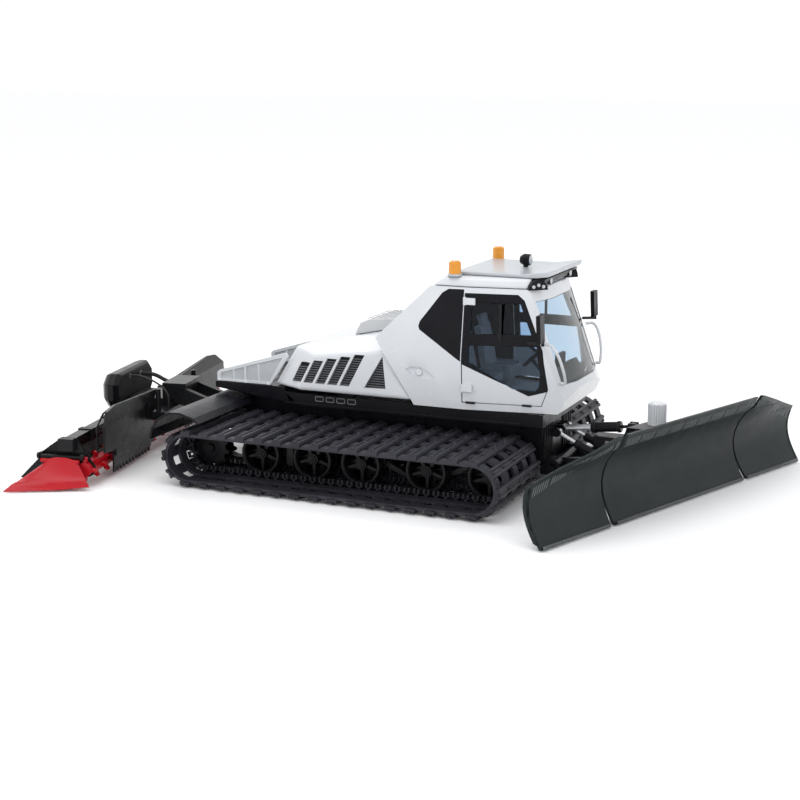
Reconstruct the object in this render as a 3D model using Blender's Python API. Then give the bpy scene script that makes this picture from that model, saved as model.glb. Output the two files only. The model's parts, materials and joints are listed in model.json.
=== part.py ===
"""Toy snow groomer at 1:16: tracks and hull, a hollow cab with doors, a yawed front blade and a rear tiller.

Lengths are millimetres scaled by MM. +X is forward, +Y is the machine's left, +Z is up, and Z = 0 is the
ground under the track shoes. The machine's own datum lies under its rear sprocket, on its centre plane.
"""

import math

import bmesh
import bpy
from mathutils import Matrix, Vector

MM = 0.001
GAP = 0.3  # between two pieces that rest on each other
PIN_PLAY = 0.4  # radial play of a pin in its eye

# Where the machine's datum lies in the part's frame, so that the whole box stands centred on the origin
DATUM = (-103.1, 23.4)

# Tracks and wheels
TRACK_REAR_X = -16.0
TRACK_FRONT_X = 220.0
TRACK_INNER_Y = 39.0
TRACK_WIDTH = 94.0
BELT_RADIUS = 20.7
BELT_THICK = 3.7
SHOE_HEIGHT = 2.3
SHOE_COUNT = 38
SHOE_BASE = 8.0
SHOE_TIP = 4.6
AXLE_Z = BELT_RADIUS + SHOE_HEIGHT
WHEEL_RADIUS = BELT_RADIUS - BELT_THICK - 0.4
WHEEL_WIDTH = 20.0
WHEEL_Y = TRACK_INNER_Y + TRACK_WIDTH / 2
ROAD_WHEEL_X = (30.0, 75.0, 116.0, 170.0)
RIM_DEPTH = 3.4
HUB_RADIUS = 3.6
SPOKES = 5
SPOKE_WIDTH = 1.6
SPROCKET_TEETH = 12
SPROCKET_TOOTH = 3.0

# Hull, the black tub between the tracks, and the wide platform on it
HULL_HALF = 36.5
HULL_REAR_X = -28.0
HULL_FRONT_X = 242.0
HULL_BOTTOM_Z = 11.0
HULL_TOP_Z = 56.0
PLATFORM_TOP_Z = 65.0
PLATFORM_HALF = 54.0
PLATFORM_REAR_X = 30.0
PLATFORM_FRONT_X = 248.0
DECK_REAR_X = -35.0
DECK_HALF = 50.0
DECK_THICK = 5.0
DECK_TOP_Z = 68.0

# Cab
CAB_SILL_Z = PLATFORM_TOP_Z + GAP
SEAM_LOW_X = 145.0  # where the seam between hood and cab meets the sill
SEAM_SLOPE = 0.631  # how far the seam leans back for each unit of height
CAB_BELT_Z = 105.0
CAB_BELT_HALF = 61.5
CAB_SILL_HALF = 59.0
CAB_LEAN = 0.15  # lean of the upper side, and the taper of the cab towards its nose
CAB_TAPER = 0.15
CAB_TAPER_X = 186.0
CAB_TOP_Z = 158.0
NOSE_X = 266.0
NOSE_Z = 82.0
SCREEN_LEAN = 0.35
SCREEN_CURVE = 0.25
SCREEN_FLAT_HALF = 22.0
CAB_WALL = 2.2
FLOOR_THICK = 3.0
DOOR_GAP = 0.5
DOOR_REAR_X = 184.5
DOOR_HINGE_X = DOOR_REAR_X - 1.6
DOOR_HINGE_Y = CAB_BELT_HALF - 0.9
ROOF_TOP_Z = 165.5
ROOF_REAR_X = 160.0
ROOF_FRONT_X = 238.5
WING_HALF = 41.0  # half width of the wing on the roof
GLASS_THICK = 1.0

# Engine hood
HOOD_TAIL_X = 17.0
HOOD_SHOULDER_HALF = 57.5
HOOD_CREST_HALF = 28.0
GRILLE_DEPTH = 2.5

# Front linkage and blade
LIFT_X = 250.0
LIFT_Z = 20.0
SWIVEL_X = 292.5
BLADE_YAW = -20.0
BLADE_EDGE_X = 60.0
BLADE_SEAM_Y = 86.0
BLADE_HALF = 170.0
BLADE_TOP_Z = 69.0
BLADE_WING_END_Z = 46.0
BLADE_THICK = 2.6
BLADE_BOTTOM_Z = 0.6
WING_HINGE_X = 43.0
WING_HINGE_Y = BLADE_SEAM_Y + 2.0
SLEEVE_LOW_Z = 15.8  # the wing hinge's sleeve
SLEEVE_HIGH_Z = 42.2
WING_SPREAD = 0.21  # how fast the seam opens with distance from the wing's hinge
CARRIER_X = 42.5  # front of the plate that carries the blade
KNOB_X = 34.0
RAISE_Y = 12.5
RAISE_FOOT = (285.0, 24.0)  # pin on the push frame
RAISE_TOP = (247.0, 43.0)  # pin on the hull
TILT_FOOT = (303.0, 50.0)
TILT_TOP = (247.0, 44.0)
PIN_RADIUS = 1.2
EYE_RADIUS = 3.0
BORE_START = 12.0  # from a barrel's eye to the bottom of its bore
ROD_REACH = 7.8  # from the bottom of the bore to the rod at rest, which the lift takes up

# Tiller
SWING_X = -36.0
TILLER_YAW = 10.0
LIFT_ARM_X = -14.0
TILLER_LIFT_Z = 36.0
GUARD_X = -67.0  # front face of the guards
MOTOR_FRONT_X = -98.0
HITCH_HALF = 18.0
HITCH_TOP_Z = 57.0
BEAM_HALF = 45.0
BEAM_TOP_Z = 38.0
TUBE_X = -92.0  # front face of the square tube
TUBE_Z = 27.5
TUBE_TOP_Z = 36.0
TUBE_DEPTH = 9.0
PLATE_Y = 140.5  # inner face of the end plates
TUBE_HALF = PLATE_Y + 4.5
PLATE_THICK = 2.5
FINISHER_Y = PLATE_Y + 8.0
FINISHER_Z = 23.0
FINISHER_FRONT_X = -84.0
FINISHER_REAR_X = -118.0
SHAFT_X = -82.0
SHAFT_Z = 13.0
SHAFT_RADIUS = 7.0
SHAFT_TOOTH = 4.0
JOURNAL_RADIUS = 3.0
SHAFT_RINGS = 16


def clear_scene():
    for item in list(bpy.data.objects):
        bpy.data.objects.remove(item, do_unlink=True)


def material(name, colour, roughness, metallic=0.0, alpha=1.0):
    made = bpy.data.materials.new(name)
    made.use_nodes = True
    shader = made.node_tree.nodes["Principled BSDF"]
    shader.inputs["Base Color"].default_value = (*colour, 1.0)
    shader.inputs["Roughness"].default_value = roughness
    shader.inputs["Metallic"].default_value = metallic
    shader.inputs["Alpha"].default_value = alpha
    return made


def frame(name, parent, place, yaw=0.0):
    """An empty that stands on a joint's axis, in its parent's frame."""
    made = bpy.data.objects.new(name, None)
    bpy.context.scene.collection.objects.link(made)
    made.parent = parent
    made.location = Vector(place) * MM
    made.rotation_euler = (0.0, 0.0, math.radians(yaw))
    return made


def solid(name, shape, finish, parent):
    """Makes the object of a node from a bmesh in millimetres of its parent's frame."""
    bmesh.ops.recalc_face_normals(shape, faces=shape.faces)
    bmesh.ops.scale(shape, vec=(MM, MM, MM), verts=shape.verts)
    mesh = bpy.data.meshes.new(name)
    shape.to_mesh(mesh)
    shape.free()
    mesh.materials.append(finish)
    mesh.shade_smooth()
    mesh.set_sharp_from_angle(angle=math.radians(30))
    made = bpy.data.objects.new(name, mesh)
    bpy.context.scene.collection.objects.link(made)
    made.parent = parent
    return made


def combine(target, shape, operation):
    """Joins a shape to an object, or cuts it away, with a hidden helper and a Boolean."""
    count = len(target.modifiers)
    helper = solid(f"{target.name}_{operation.lower()}_{count}", shape, target.active_material, target.parent)
    helper.hide_render = True
    helper.display_type = "WIRE"
    step = target.modifiers.new(f"{operation.lower()}_{count}", "BOOLEAN")
    step.operation = operation
    step.solver = "EXACT"
    step.object = helper
    return target


def join(target, shape):
    return combine(target, shape, "UNION")


def cut(target, shape):
    return combine(target, shape, "DIFFERENCE")


def keep(target, shape):
    return combine(target, shape, "INTERSECT")


AXIS_TURN = {
    "X": Matrix(((0, 0, 1), (1, 0, 0), (0, 1, 0))),
    "Y": Matrix(((1, 0, 0), (0, 0, 1), (0, 1, 0))),
    "Z": Matrix(((1, 0, 0), (0, 1, 0), (0, 0, 1))),
}


def prism(outline, low, high, axis, shape=None):
    """An outline in the other two axes, in their order, extruded along the named axis."""
    shape = shape or bmesh.new()
    turn = AXIS_TURN[axis]
    corners = [shape.verts.new(turn @ Vector((a, b, low))) for a, b in outline]
    face = shape.faces.new(corners)
    swept = bmesh.ops.extrude_face_region(shape, geom=[face])["geom"]
    moved = [item for item in swept if isinstance(item, bmesh.types.BMVert)]
    bmesh.ops.translate(shape, vec=turn @ Vector((0, 0, high - low)), verts=moved)
    return shape


def block(low, high, shape=None):
    outline = [(low[0], low[1]), (high[0], low[1]), (high[0], high[1]), (low[0], high[1])]
    return prism(outline, low[2], high[2], "Z", shape)


def rod(start, end, radius, sides=16, shape=None, end_radius=None):
    """A round bar, or a cone, between two points."""
    shape = shape or bmesh.new()
    start = Vector(start)
    along = Vector(end) - start
    turn = along.to_track_quat("Z", "Y").to_matrix().to_4x4()
    bmesh.ops.create_cone(
        shape,
        cap_ends=True,
        segments=sides,
        radius1=radius,
        radius2=radius if end_radius is None else end_radius,
        depth=along.length,
        matrix=Matrix.Translation(start + along / 2) @ turn,
    )
    return shape


def pipe(name, points, radius, finish, parent, smooth=True):
    """A round bar bent through points, as a curve with filled caps."""
    data = bpy.data.curves.new(name, "CURVE")
    data.dimensions = "3D"
    data.bevel_depth = radius * MM
    data.bevel_resolution = 2
    data.use_fill_caps = True
    line = data.splines.new("POLY")
    route = spline_through(points, 3) if smooth else [Vector(p) for p in points]
    line.points.add(len(route) - 1)
    for knot, place in zip(line.points, route):
        knot.co = (*(place * MM), 1.0)
    data.materials.append(finish)
    made = bpy.data.objects.new(name, data)
    bpy.context.scene.collection.objects.link(made)
    made.parent = parent
    return made


def spline_through(points, steps):
    """Points on a smooth Catmull-Rom curve through the given ones."""
    knots = [Vector(p) for p in points]
    knots = [2 * knots[0] - knots[1], *knots, 2 * knots[-1] - knots[-2]]
    route = []
    for a, b, c, d in zip(knots, knots[1:], knots[2:], knots[3:]):
        for step in range(steps):
            t = step / steps
            square = (2 * a - 5 * b + 4 * c - d) * t**2
            cube = (3 * b - a - 3 * c + d) * t**3
            route.append(0.5 * (2 * b + (c - a) * t + square + cube))
    route.append(knots[-2])
    return route


def arc(centre, radius, start, end, steps):
    """Points on an arc, with its angles in degrees."""
    angles = [math.radians(start + (end - start) * i / steps) for i in range(steps + 1)]
    return [(centre[0] + radius * math.cos(a), centre[1] + radius * math.sin(a)) for a in angles]


def clip(shape, point, normal):
    """Cuts off what lies beyond a plane of a convex shape, and closes the cut."""
    parts = shape.verts[:] + shape.edges[:] + shape.faces[:]
    bmesh.ops.bisect_plane(shape, geom=parts, plane_co=point, plane_no=normal, clear_outer=True, dist=1e-5)
    rim = [edge for edge in shape.edges if edge.is_boundary]
    if rim:
        bmesh.ops.holes_fill(shape, edges=rim)


# ---------------------------------------------------------------- tracks and running gear


def loop_outline(radius, steps=10):
    rear = arc((TRACK_REAR_X, AXLE_Z), radius, 90, 270, steps)
    front = arc((TRACK_FRONT_X, AXLE_Z), radius, -90, 90, steps)
    return rear + front


def point_on_loop(distance, radius):
    """The place at a distance along the belt's outer line, counted from the rear top and going back."""
    length = TRACK_FRONT_X - TRACK_REAR_X
    half_turn = math.pi * BELT_RADIUS
    distance = distance % (2 * length + 2 * half_turn)
    if distance < half_turn:
        angle = math.pi / 2 + distance / BELT_RADIUS
        centre = (TRACK_REAR_X, AXLE_Z)
    elif distance < half_turn + length:
        return (TRACK_REAR_X + distance - half_turn, AXLE_Z - radius)
    elif distance < 2 * half_turn + length:
        angle = -math.pi / 2 + (distance - half_turn - length) / BELT_RADIUS
        centre = (TRACK_FRONT_X, AXLE_Z)
    else:
        return (TRACK_FRONT_X - (distance - 2 * half_turn - length), AXLE_Z + radius)
    return (centre[0] + radius * math.cos(angle), centre[1] + radius * math.sin(angle))


def shoe_outline():
    """The belt's outer line with a bar standing out of it at each shoe."""
    around = 2 * (TRACK_FRONT_X - TRACK_REAR_X) + 2 * math.pi * BELT_RADIUS
    pitch = around / SHOE_COUNT
    outline = []
    for shoe in range(SHOE_COUNT):
        middle = shoe * pitch
        bar = ((-SHOE_BASE, 0), (-SHOE_TIP, SHOE_HEIGHT), (SHOE_TIP, SHOE_HEIGHT), (SHOE_BASE, 0))
        for width, height in bar:
            outline.append(point_on_loop(middle + width / 2, BELT_RADIUS + height))
    return outline


def track(side, parent, finish):
    low, high = sorted((side * TRACK_INNER_Y, side * (TRACK_INNER_Y + TRACK_WIDTH)))
    name = "track_left" if side > 0 else "track_right"
    made = solid(name, prism(shoe_outline(), low, high, "Y"), finish, parent)
    cut(made, prism(loop_outline(BELT_RADIUS - BELT_THICK), low - 1, high + 1, "Y"))


def wheel_window(x, start, end, low, high, shape):
    inner = HUB_RADIUS + 1.2
    outer = WHEEL_RADIUS - RIM_DEPTH
    half_in = math.degrees(SPOKE_WIDTH / 2 / inner)
    half_out = math.degrees(SPOKE_WIDTH / 2 / outer)
    outline = arc((x, AXLE_Z), outer, start + half_out, end - half_out, 4)
    outline += arc((x, AXLE_Z), inner, end - half_in, start + half_in, 2)
    return prism(outline, low, high, "Y", shape)


def wheel_windows(x, low, high, shape):
    step = 360 / SPOKES
    for spoke in range(SPOKES):
        wheel_window(x, 90 + spoke * step, 90 + (spoke + 1) * step, low, high, shape)
    return shape


def running_gear(side, parent, tyre_finish, frame_finish):
    """The road wheels on the beam and stub axles that carry them, and the idler and the sprocket."""
    tag = "left" if side > 0 else "right"
    inner = WHEEL_Y - WHEEL_WIDTH / 2
    outer = WHEEL_Y + WHEEL_WIDTH / 2
    wheel = [side * inner, side * outer]
    beam = sorted((side * (TRACK_INNER_Y + 3), side * (TRACK_INNER_Y + 9)))
    first, last = ROAD_WHEEL_X[0], ROAD_WHEEL_X[-1]
    carrying = block((first - 9, beam[0], AXLE_Z - 4), (last + 9, beam[1], AXLE_Z + 4))
    made = solid(f"road_wheels_{tag}", carrying, tyre_finish, parent)
    windows = bmesh.new()
    for x in ROAD_WHEEL_X:
        join(made, rod((x, side * (TRACK_INNER_Y + 5), AXLE_Z), (x, wheel[0] + side, AXLE_Z), 3.0, 12))
        join(made, rod((x, wheel[0], AXLE_Z), (x, wheel[1], AXLE_Z), WHEEL_RADIUS, 28))
        wheel_windows(x, min(wheel) - 1, max(wheel) + 1, windows)
    cut(made, windows)
    for x, name in ((TRACK_FRONT_X, "idler"), (TRACK_REAR_X, "sprocket")):
        hub = rod((x, side * (HULL_HALF + GAP), AXLE_Z), (x, wheel[1], AXLE_Z), HUB_RADIUS, 12)
        made = solid(f"{name}_{tag}", hub, frame_finish, parent)
        if name == "idler":
            join(made, rod((x, wheel[0], AXLE_Z), (x, wheel[1] - side * 0.5, AXLE_Z), WHEEL_RADIUS, 28))
            cut(made, wheel_windows(x, min(wheel) - 1, max(wheel) + 1, bmesh.new()))
        else:
            join(made, sprocket_wheel(x, min(wheel), max(wheel) - 0.5 if side > 0 else max(wheel)))


def sprocket_wheel(x, low, high):
    outline = []
    root = WHEEL_RADIUS - SPROCKET_TOOTH
    for tooth in range(SPROCKET_TEETH):
        for part, radius in ((0.0, root), (0.5, root), (0.62, WHEEL_RADIUS), (0.88, WHEEL_RADIUS)):
            angle = 2 * math.pi * (tooth + part) / SPROCKET_TEETH
            outline.append((x + radius * math.cos(angle), AXLE_Z + radius * math.sin(angle)))
    return prism(outline, low, high, "Y")


# ---------------------------------------------------------------- hull and deck


def hull(parent, finish):
    side = [
        (HULL_REAR_X, 30.0),
        (-20.0, 15.0),
        (0.0, HULL_BOTTOM_Z),
        (226.0, HULL_BOTTOM_Z),
        (HULL_FRONT_X, 18.0),
        (HULL_FRONT_X, HULL_TOP_Z),
        (HULL_REAR_X, HULL_TOP_Z),
    ]
    made = solid("hull", prism(side, -HULL_HALF, HULL_HALF, "Y"), finish, parent)
    platform = [
        (PLATFORM_REAR_X, PLATFORM_TOP_Z),
        (PLATFORM_REAR_X + 14, HULL_TOP_Z - 1),
        (PLATFORM_FRONT_X, HULL_TOP_Z - 1),
        (PLATFORM_FRONT_X, PLATFORM_TOP_Z),
    ]
    join(made, prism(platform, -PLATFORM_HALF, PLATFORM_HALF, "Y"))
    for y in (-34.0, 22.0):
        join(made, lug((LIFT_X, LIFT_Z), HULL_FRONT_X - 2, y, y + 12.0, 6.0))
    cut(made, rod((LIFT_X, -40, LIFT_Z), (LIFT_X, 40, LIFT_Z), 2.0 + PIN_PLAY))
    for y in (-RAISE_Y, 0.0, RAISE_Y):
        x, z = TILT_TOP if y == 0.0 else RAISE_TOP
        ear = 3.2 if y == 0.0 else 2.0
        for low in (y - ear - 1.8, y + ear):
            join(made, lug((x, z), HULL_FRONT_X - 2, low, low + 1.8, EYE_RADIUS))
        join(made, rod((x, y - ear - 1, z), (x, y + ear + 1, z), PIN_RADIUS, 10))
    for low in (22.0, 46.0):
        join(made, block((SWING_X - 7, -9, low), (HULL_REAR_X + 9, 9, low + 4)))
    join(made, rod((SWING_X, 0, 23), (SWING_X, 0, 49), 3.0, 12))
    return made


def lug(centre, root_x, low, high, radius):
    """A flat eye that stands out of a wall at root_x, round about the pin at its end."""
    x, z = centre
    front = x > root_x
    start, end = (-90, 90) if front else (90, 270)
    tip = arc((x, z), radius, start, end, 8)
    foot = [(root_x, z + radius), (root_x, z - radius)]
    if not front:
        foot.reverse()
    return prism(tip + foot, low, high, "Y")


def deck(parent, finish):
    top = DECK_TOP_Z
    outline = [
        (DECK_REAR_X, top - DECK_THICK),
        (PLATFORM_REAR_X - 8, HULL_TOP_Z + GAP),
        (PLATFORM_REAR_X + 3, HULL_TOP_Z + GAP),
        (PLATFORM_REAR_X - GAP - 1, PLATFORM_TOP_Z),
        (PLATFORM_REAR_X - GAP - 1, top),
        (DECK_REAR_X, top),
    ]
    return solid("rear_deck", prism(outline, -DECK_HALF, DECK_HALF, "Y"), finish, parent)


def guard(side, parent, finish):
    """A curved mudguard over the rear of a track, hung from the side of the hull under the deck."""
    tag = "left" if side > 0 else "right"
    upper = [(-3, 52), (-8, 56), (-20, 59.5), (-30, 59), (-40, 53), (-46, 45), (-48, 36)]
    lower = [(-46.2, 36), (-44.4, 44.4), (-38.8, 51.6), (-29.5, 57.2), (-20.2, 57.7), (-9, 54.4), (-4.4, 51)]
    low, high = sorted((side * (HULL_HALF + GAP), side * (TRACK_INNER_Y + TRACK_WIDTH)))
    return solid(f"track_guard_{tag}", prism(upper + lower, low, high, "Y"), finish, parent)


def rack(side, parent, finish):
    """One side of the load rack: a low railing that rises forward to the hood."""
    tag = "left" if side > 0 else "right"
    base = DECK_TOP_Z + GAP
    low, high = sorted((side * 46.0, side * 48.5))
    made = solid(
        f"load_rack_{tag}",
        prism([(-34, base), (15, base), (31.0, 92.5), (29.0, 95.5), (-32, 77.0), (-34, 75)], low, high, "Y"),
        finish,
        parent,
    )
    cut(made, prism([(-31, base + 2), (-9, base + 2), (-9, 81.0), (-30, 75.0)], low - 1, high + 1, "Y"))
    cut(made, prism([(-7, base + 2), (13.5, base + 2), (26.0, 91.2), (-7, 81.8)], low - 1, high + 1, "Y"))
    return made


# ---------------------------------------------------------------- hood


def plane_through(shape, a, b, c, inside):
    a, b, c = Vector(a), Vector(b), Vector(c)
    normal = (b - a).cross(c - a)
    if normal.dot(Vector(inside) - a) > 0:
        normal.negate()
    clip(shape, a, normal)


def hood(parent, finish):
    """The engine hood, which fills the space under it: sloping sides, shoulders and a crown."""
    base = DECK_TOP_Z + GAP
    shape = block((HOOD_TAIL_X, -60, base), (160, 60, 125))
    inside = (80, 0, 80)
    for side in (-1, 1):
        low = CAB_SILL_HALF * side
        shoulder = HOOD_SHOULDER_HALF * side
        crest = HOOD_CREST_HALF * side
        plane_through(shape, (40, low, base), (120, low, base), (120, shoulder, 104), inside)
        plane_through(shape, (40, shoulder, 95), (118, shoulder, 104), (118, crest, 117), inside)
        tail = (HOOD_TAIL_X, 44 * side, base)
        plane_through(shape, tail, (42, shoulder, base), (36, 44 * side, 99), inside)
    plane_through(shape, (37, -10, 101), (112, -10, 116.5), (112, 10, 116.5), inside)
    plane_through(shape, (HOOD_TAIL_X, -10, base), (36, -10, 100), (36, 10, 100), inside)
    rear_of_seam = SEAM_LOW_X - 2 * GAP
    plane_through(
        shape,
        (rear_of_seam, 0, CAB_SILL_Z),
        (rear_of_seam, 9, CAB_SILL_Z),
        (rear_of_seam - SEAM_SLOPE * 40, 0, CAB_SILL_Z + 40),
        inside,
    )
    made = solid("engine_hood", shape, finish, parent)
    for side in (-1, 1):
        low, high = sorted((side * (HOOD_SHOULDER_HALF - GRILLE_DEPTH), side * 70))
        slots = bmesh.new()
        for slot in range(5):
            foot = 40.0 + slot * 10.6
            top = 88.0 + slot * 2.4
            lean = 0.52 * (top - 75.0)
            slanted = [(foot, 75.0), (foot + 7.4, 75.0), (foot + 7.4 + lean, top), (foot + lean, top)]
            prism(slanted, low, high, "Y", slots)
        prism([(102.5, 75.0), (121.0, 75.5), (118.0, 101.0)], low, high, "Y", slots)
        cut(made, slots)
    return made


def step_box(parent, finish):
    """The raised step on the crown of the hood, with a chequered top."""
    shape = prism([(79, 109.5), (113, 117.0), (117, 125.5), (92, 123.5), (84, 120.0)], -25, 25, "Y")
    made = solid("hood_step", shape, finish, parent)
    clearance = [(70, 100.0), (130, 100.0), (130, 101 + 0.2067 * 93 + GAP), (70, 101 + 0.2067 * 33 + GAP)]
    cut(made, prism(clearance, -30, 30, "Y"))
    return made


# ---------------------------------------------------------------- cab


def cab_body(inset):
    """The cab's outer form, or the same form with every face moved in by inset."""
    shape = block((100, -70, CAB_SILL_Z + (FLOOR_THICK if inset else 0)), (280, 70, CAB_TOP_Z - inset))
    centre = Vector((200, 0, 110))

    def face(point, normal):
        normal = Vector(normal).normalized()
        clip(shape, Vector(point) - normal * inset, normal)

    for side in (-1, 1):
        belt = (CAB_TAPER_X, side * CAB_BELT_HALF, CAB_BELT_Z)
        low_lean = (CAB_BELT_HALF - CAB_SILL_HALF) / (CAB_BELT_Z - CAB_SILL_Z)
        face(belt, (0, side, CAB_LEAN))
        face(belt, (CAB_TAPER, side, CAB_LEAN))
        face(belt, (0, side, -low_lean))
        face(belt, (CAB_TAPER, side, -low_lean))
        corner = (NOSE_X, side * SCREEN_FLAT_HALF, NOSE_Z)
        face(corner, (1, side * SCREEN_CURVE, SCREEN_LEAN))
    face((NOSE_X, 0, NOSE_Z), (1, 0, SCREEN_LEAN))
    face((NOSE_X, 0, NOSE_Z), (1, 0, -0.5))
    face((SEAM_LOW_X, 0, CAB_SILL_Z), (-1, 0, -SEAM_SLOPE))
    face((115, 0, 118), (-44, 0, 45))
    return shape


# Outlines of openings and windows: X and Z for the doors, Y and Z for the windscreen and the rear window
DOOR = [
    (DOOR_REAR_X, 70.5),
    (245.5, 70.5),
    (250.5, 84.0),
    (246.0, 113.0),
    (230.0, 150.0),
    (225.0, 154.0),
    (DOOR_REAR_X, 154.0),
]
WINDOW_REAR_X = DOOR_REAR_X + 5.5
UPPER_WINDOW = [(WINDOW_REAR_X, 123.5), (236.5, 124.5), (227.0, 147.0), (WINDOW_REAR_X, 147.0)]
LOWER_WINDOW = [
    (WINDOW_REAR_X, 102.0),
    (223.0, 83.0),
    (240.5, 82.0),
    (245.5, 88.0),
    (241.0, 116.0),
    (WINDOW_REAR_X, 115.0),
]
DOOR_GLASS = [
    (WINDOW_REAR_X - 1.4, 100.8),
    (222.5, 81.4),
    (241.1, 80.4),
    (246.9, 87.6),
    (242.4, 114.0),
    (227.9, 148.4),
    (WINDOW_REAR_X - 1.4, 148.4),
]
SCREEN = [(-43.0, 86.5), (43.0, 86.5), (43.5, 149.0), (-43.5, 149.0)]
REAR_WINDOW = [(-36.0, 126.0), (36.0, 126.0), (33.0, 150.0), (-33.0, 150.0)]


def inset_outline(outline, distance):
    """A convex outline with each of its sides moved in, or out when the distance is negative."""
    count = len(outline)
    area = sum(a[0] * b[1] - b[0] * a[1] for a, b in zip(outline, outline[1:] + outline[:1]))
    turn = 1 if area > 0 else -1
    moved = []
    for index in range(count):
        before, here, after = (Vector(outline[(index + k - 1) % count]) for k in range(3))
        first = (here - before).normalized()
        second = (after - here).normalized()
        inward = Vector((-first.y - second.y, first.x + second.x)) * turn
        inward /= 1 + first.dot(second)
        moved.append(tuple(here + inward * distance))
    return moved


def cab(parent, finish, glass):
    made = solid("cab_shell", cab_body(0.0), finish, parent)
    cut(made, cab_body(CAB_WALL))
    cut(made, prism(DOOR, -80, 80, "Y"))
    cut(made, prism(SCREEN, 222, 290, "X"))
    cut(made, prism(REAR_WINDOW, 110, 165, "X"))
    screen = solid("windscreen", cab_body(0.3), glass, parent)
    cut(screen, cab_body(0.3 + GLASS_THICK))
    keep(screen, prism(inset_outline(SCREEN, 0.4), 222, 290, "X"))
    pane = solid("rear_window", cab_body(0.3), glass, parent)
    cut(pane, cab_body(0.3 + GLASS_THICK))
    keep(pane, prism(inset_outline(REAR_WINDOW, 0.4), 110, 165, "X"))
    return made


def roof(parent, finish):
    base = CAB_TOP_Z + GAP
    top = ROOF_TOP_Z
    shape = block((100, -70, base), (280, 70, top))
    inside = (200, 0, base + 1)
    rear, front = ROOF_REAR_X - 3, ROOF_FRONT_X
    for side in (-1, 1):
        edge = (CAB_BELT_HALF - CAB_LEAN * (base - CAB_BELT_Z)) * side
        nose = edge - CAB_TAPER * (236 - CAB_TAPER_X) * side
        flat = SCREEN_FLAT_HALF * side
        plane_through(shape, (150, edge, base), (180, edge, base), (180, edge - 3 * side, top), inside)
        plane_through(shape, (186, edge, base), (236, nose, base), (236, nose - 3 * side, top), inside)
        plane_through(shape, (front, flat, base), (front - 6.5, nose, base), (front, flat, top), inside)
    plane_through(shape, (rear, 0, base), (rear, 9, base), (rear + 9, 0, top), inside)
    plane_through(shape, (front, 0, base), (front, 9, base), (front, 0, top), inside)
    return solid("cab_roof", shape, finish, parent)


def door(side, hinge, finish, glass):
    """A door as thick as the cab's wall, cut from the same form, hung on its rear edge."""
    tag = "left" if side > 0 else "right"
    low, high = sorted((side * 20, side * 80))
    offset = hinge.location / MM

    def placed(shape):
        bmesh.ops.translate(shape, vec=-offset, verts=shape.verts)
        return shape

    made = solid(f"door_{tag}", placed(prism(inset_outline(DOOR, DOOR_GAP), low, high, "Y")), finish, hinge)
    keep(made, placed(cab_body(0.0)))
    cut(made, placed(cab_body(CAB_WALL)))
    cut(made, placed(prism(UPPER_WINDOW, low, high, "Y")))
    cut(made, placed(prism(LOWER_WINDOW, low, high, "Y")))
    pane = solid(f"door_glass_{tag}", placed(prism(DOOR_GLASS, low, high, "Y")), glass, hinge)
    keep(pane, placed(cab_body(CAB_WALL + GAP)))
    cut(pane, placed(cab_body(CAB_WALL + GAP + GLASS_THICK)))
    return made


def cab_interior(parent, dark):
    floor = CAB_SILL_Z + FLOOR_THICK + GAP
    for side, tag in ((-1, "right"), (1, "left")):
        y = side * 22.0
        back = [(174, floor + 14), (180, floor + 14), (172, floor + 58), (166, floor + 56)]
        seat = solid(f"seat_{tag}", block((176, y - 13, floor), (200, y + 13, floor + 18)), dark, parent)
        join(seat, prism(back, y - 12, y + 12, "Y"))
    side = [(236, floor), (250, floor), (254, floor + 14), (246, floor + 26), (238, floor + 22)]
    console = solid("dashboard", prism(side, -34, 34, "Y"), dark, parent)
    join(console, rod((241, -22, floor + 20), (228, -22, floor + 32), 1.6, 8))
    join(console, rod((228.5, -22, floor + 31.5), (226.5, -22, floor + 33.5), 9.0, 16))
    return console


def roof_fittings(parent, silver, amber, dark):
    top = ROOF_TOP_Z + GAP
    skin = top + 2.6
    lip = [(236, top), (246, top + 1.5), (247, top + 5.5), (238, top + 4.5), (226, skin)]
    shape = prism([(165, top), *lip, (172, skin)], -WING_HALF, WING_HALF, "Y")
    for side in (-1, 1):
        edge = WING_HALF * side
        plane_through(shape, (172, edge, top), (165, edge - 7 * side, top), (172, edge, skin), (200, 0, top))
    solid("roof_wing", shape, silver, parent)
    lamp = solid("spotlight", rod((214, 0, skin + GAP), (214, 0, top + 5.5), 2.0, 12), dark, parent)
    join(lamp, rod((210.5, 0, top + 8.5), (217.5, 0, top + 8.5), 4.6, 16))
    for side, tag in ((-1, "right"), (1, "left")):
        y = side * (WING_HALF + 7.3)
        beacon = solid(f"beacon_{tag}", rod((174, y, top), (174, y, top + 1.5), 5.6, 16), amber, parent)
        join(beacon, rod((174, y, top + 1), (174, y, top + 11.5), 4.6, 16, None, 4.2))


def side_fittings(side, parent, white, dark):
    """The grab handle on the windscreen pillar, and the mirror on its arm."""
    tag = "left" if side > 0 else "right"
    points = [
        (247.6, 51.6, 118.5),
        (253.6, 54.6, 118.5),
        (258.5, 53.0, 111.0),
        (261.5, 49.5, 100.0),
        (262.2, 46.2, 92.0),
        (261.5, 45.2, 88.8),
        (258.7, 45.2, 88.8),
    ]
    pipe(f"grab_handle_{tag}", [(x, side * y, z) for x, y, z in points], 1.2, white, parent)
    stay = rod((245.6, side * 50.8, 123.0), (251.0, side * 67.0, 121.0), 1.2, 8)
    arm = solid(f"mirror_{tag}", stay, dark, parent)
    join(arm, rod((251.0, side * 66.5, 120.0), (249.5, side * 67.5, 134.0), 1.2, 8))
    low, high = sorted((side * 63.0, side * 73.0))
    join(arm, prism([(248.3, 122.5), (251.5, 122.5), (250.5, 143.0), (247.3, 143.0)], low, high, "Y"))


# ---------------------------------------------------------------- front linkage and blade


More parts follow.
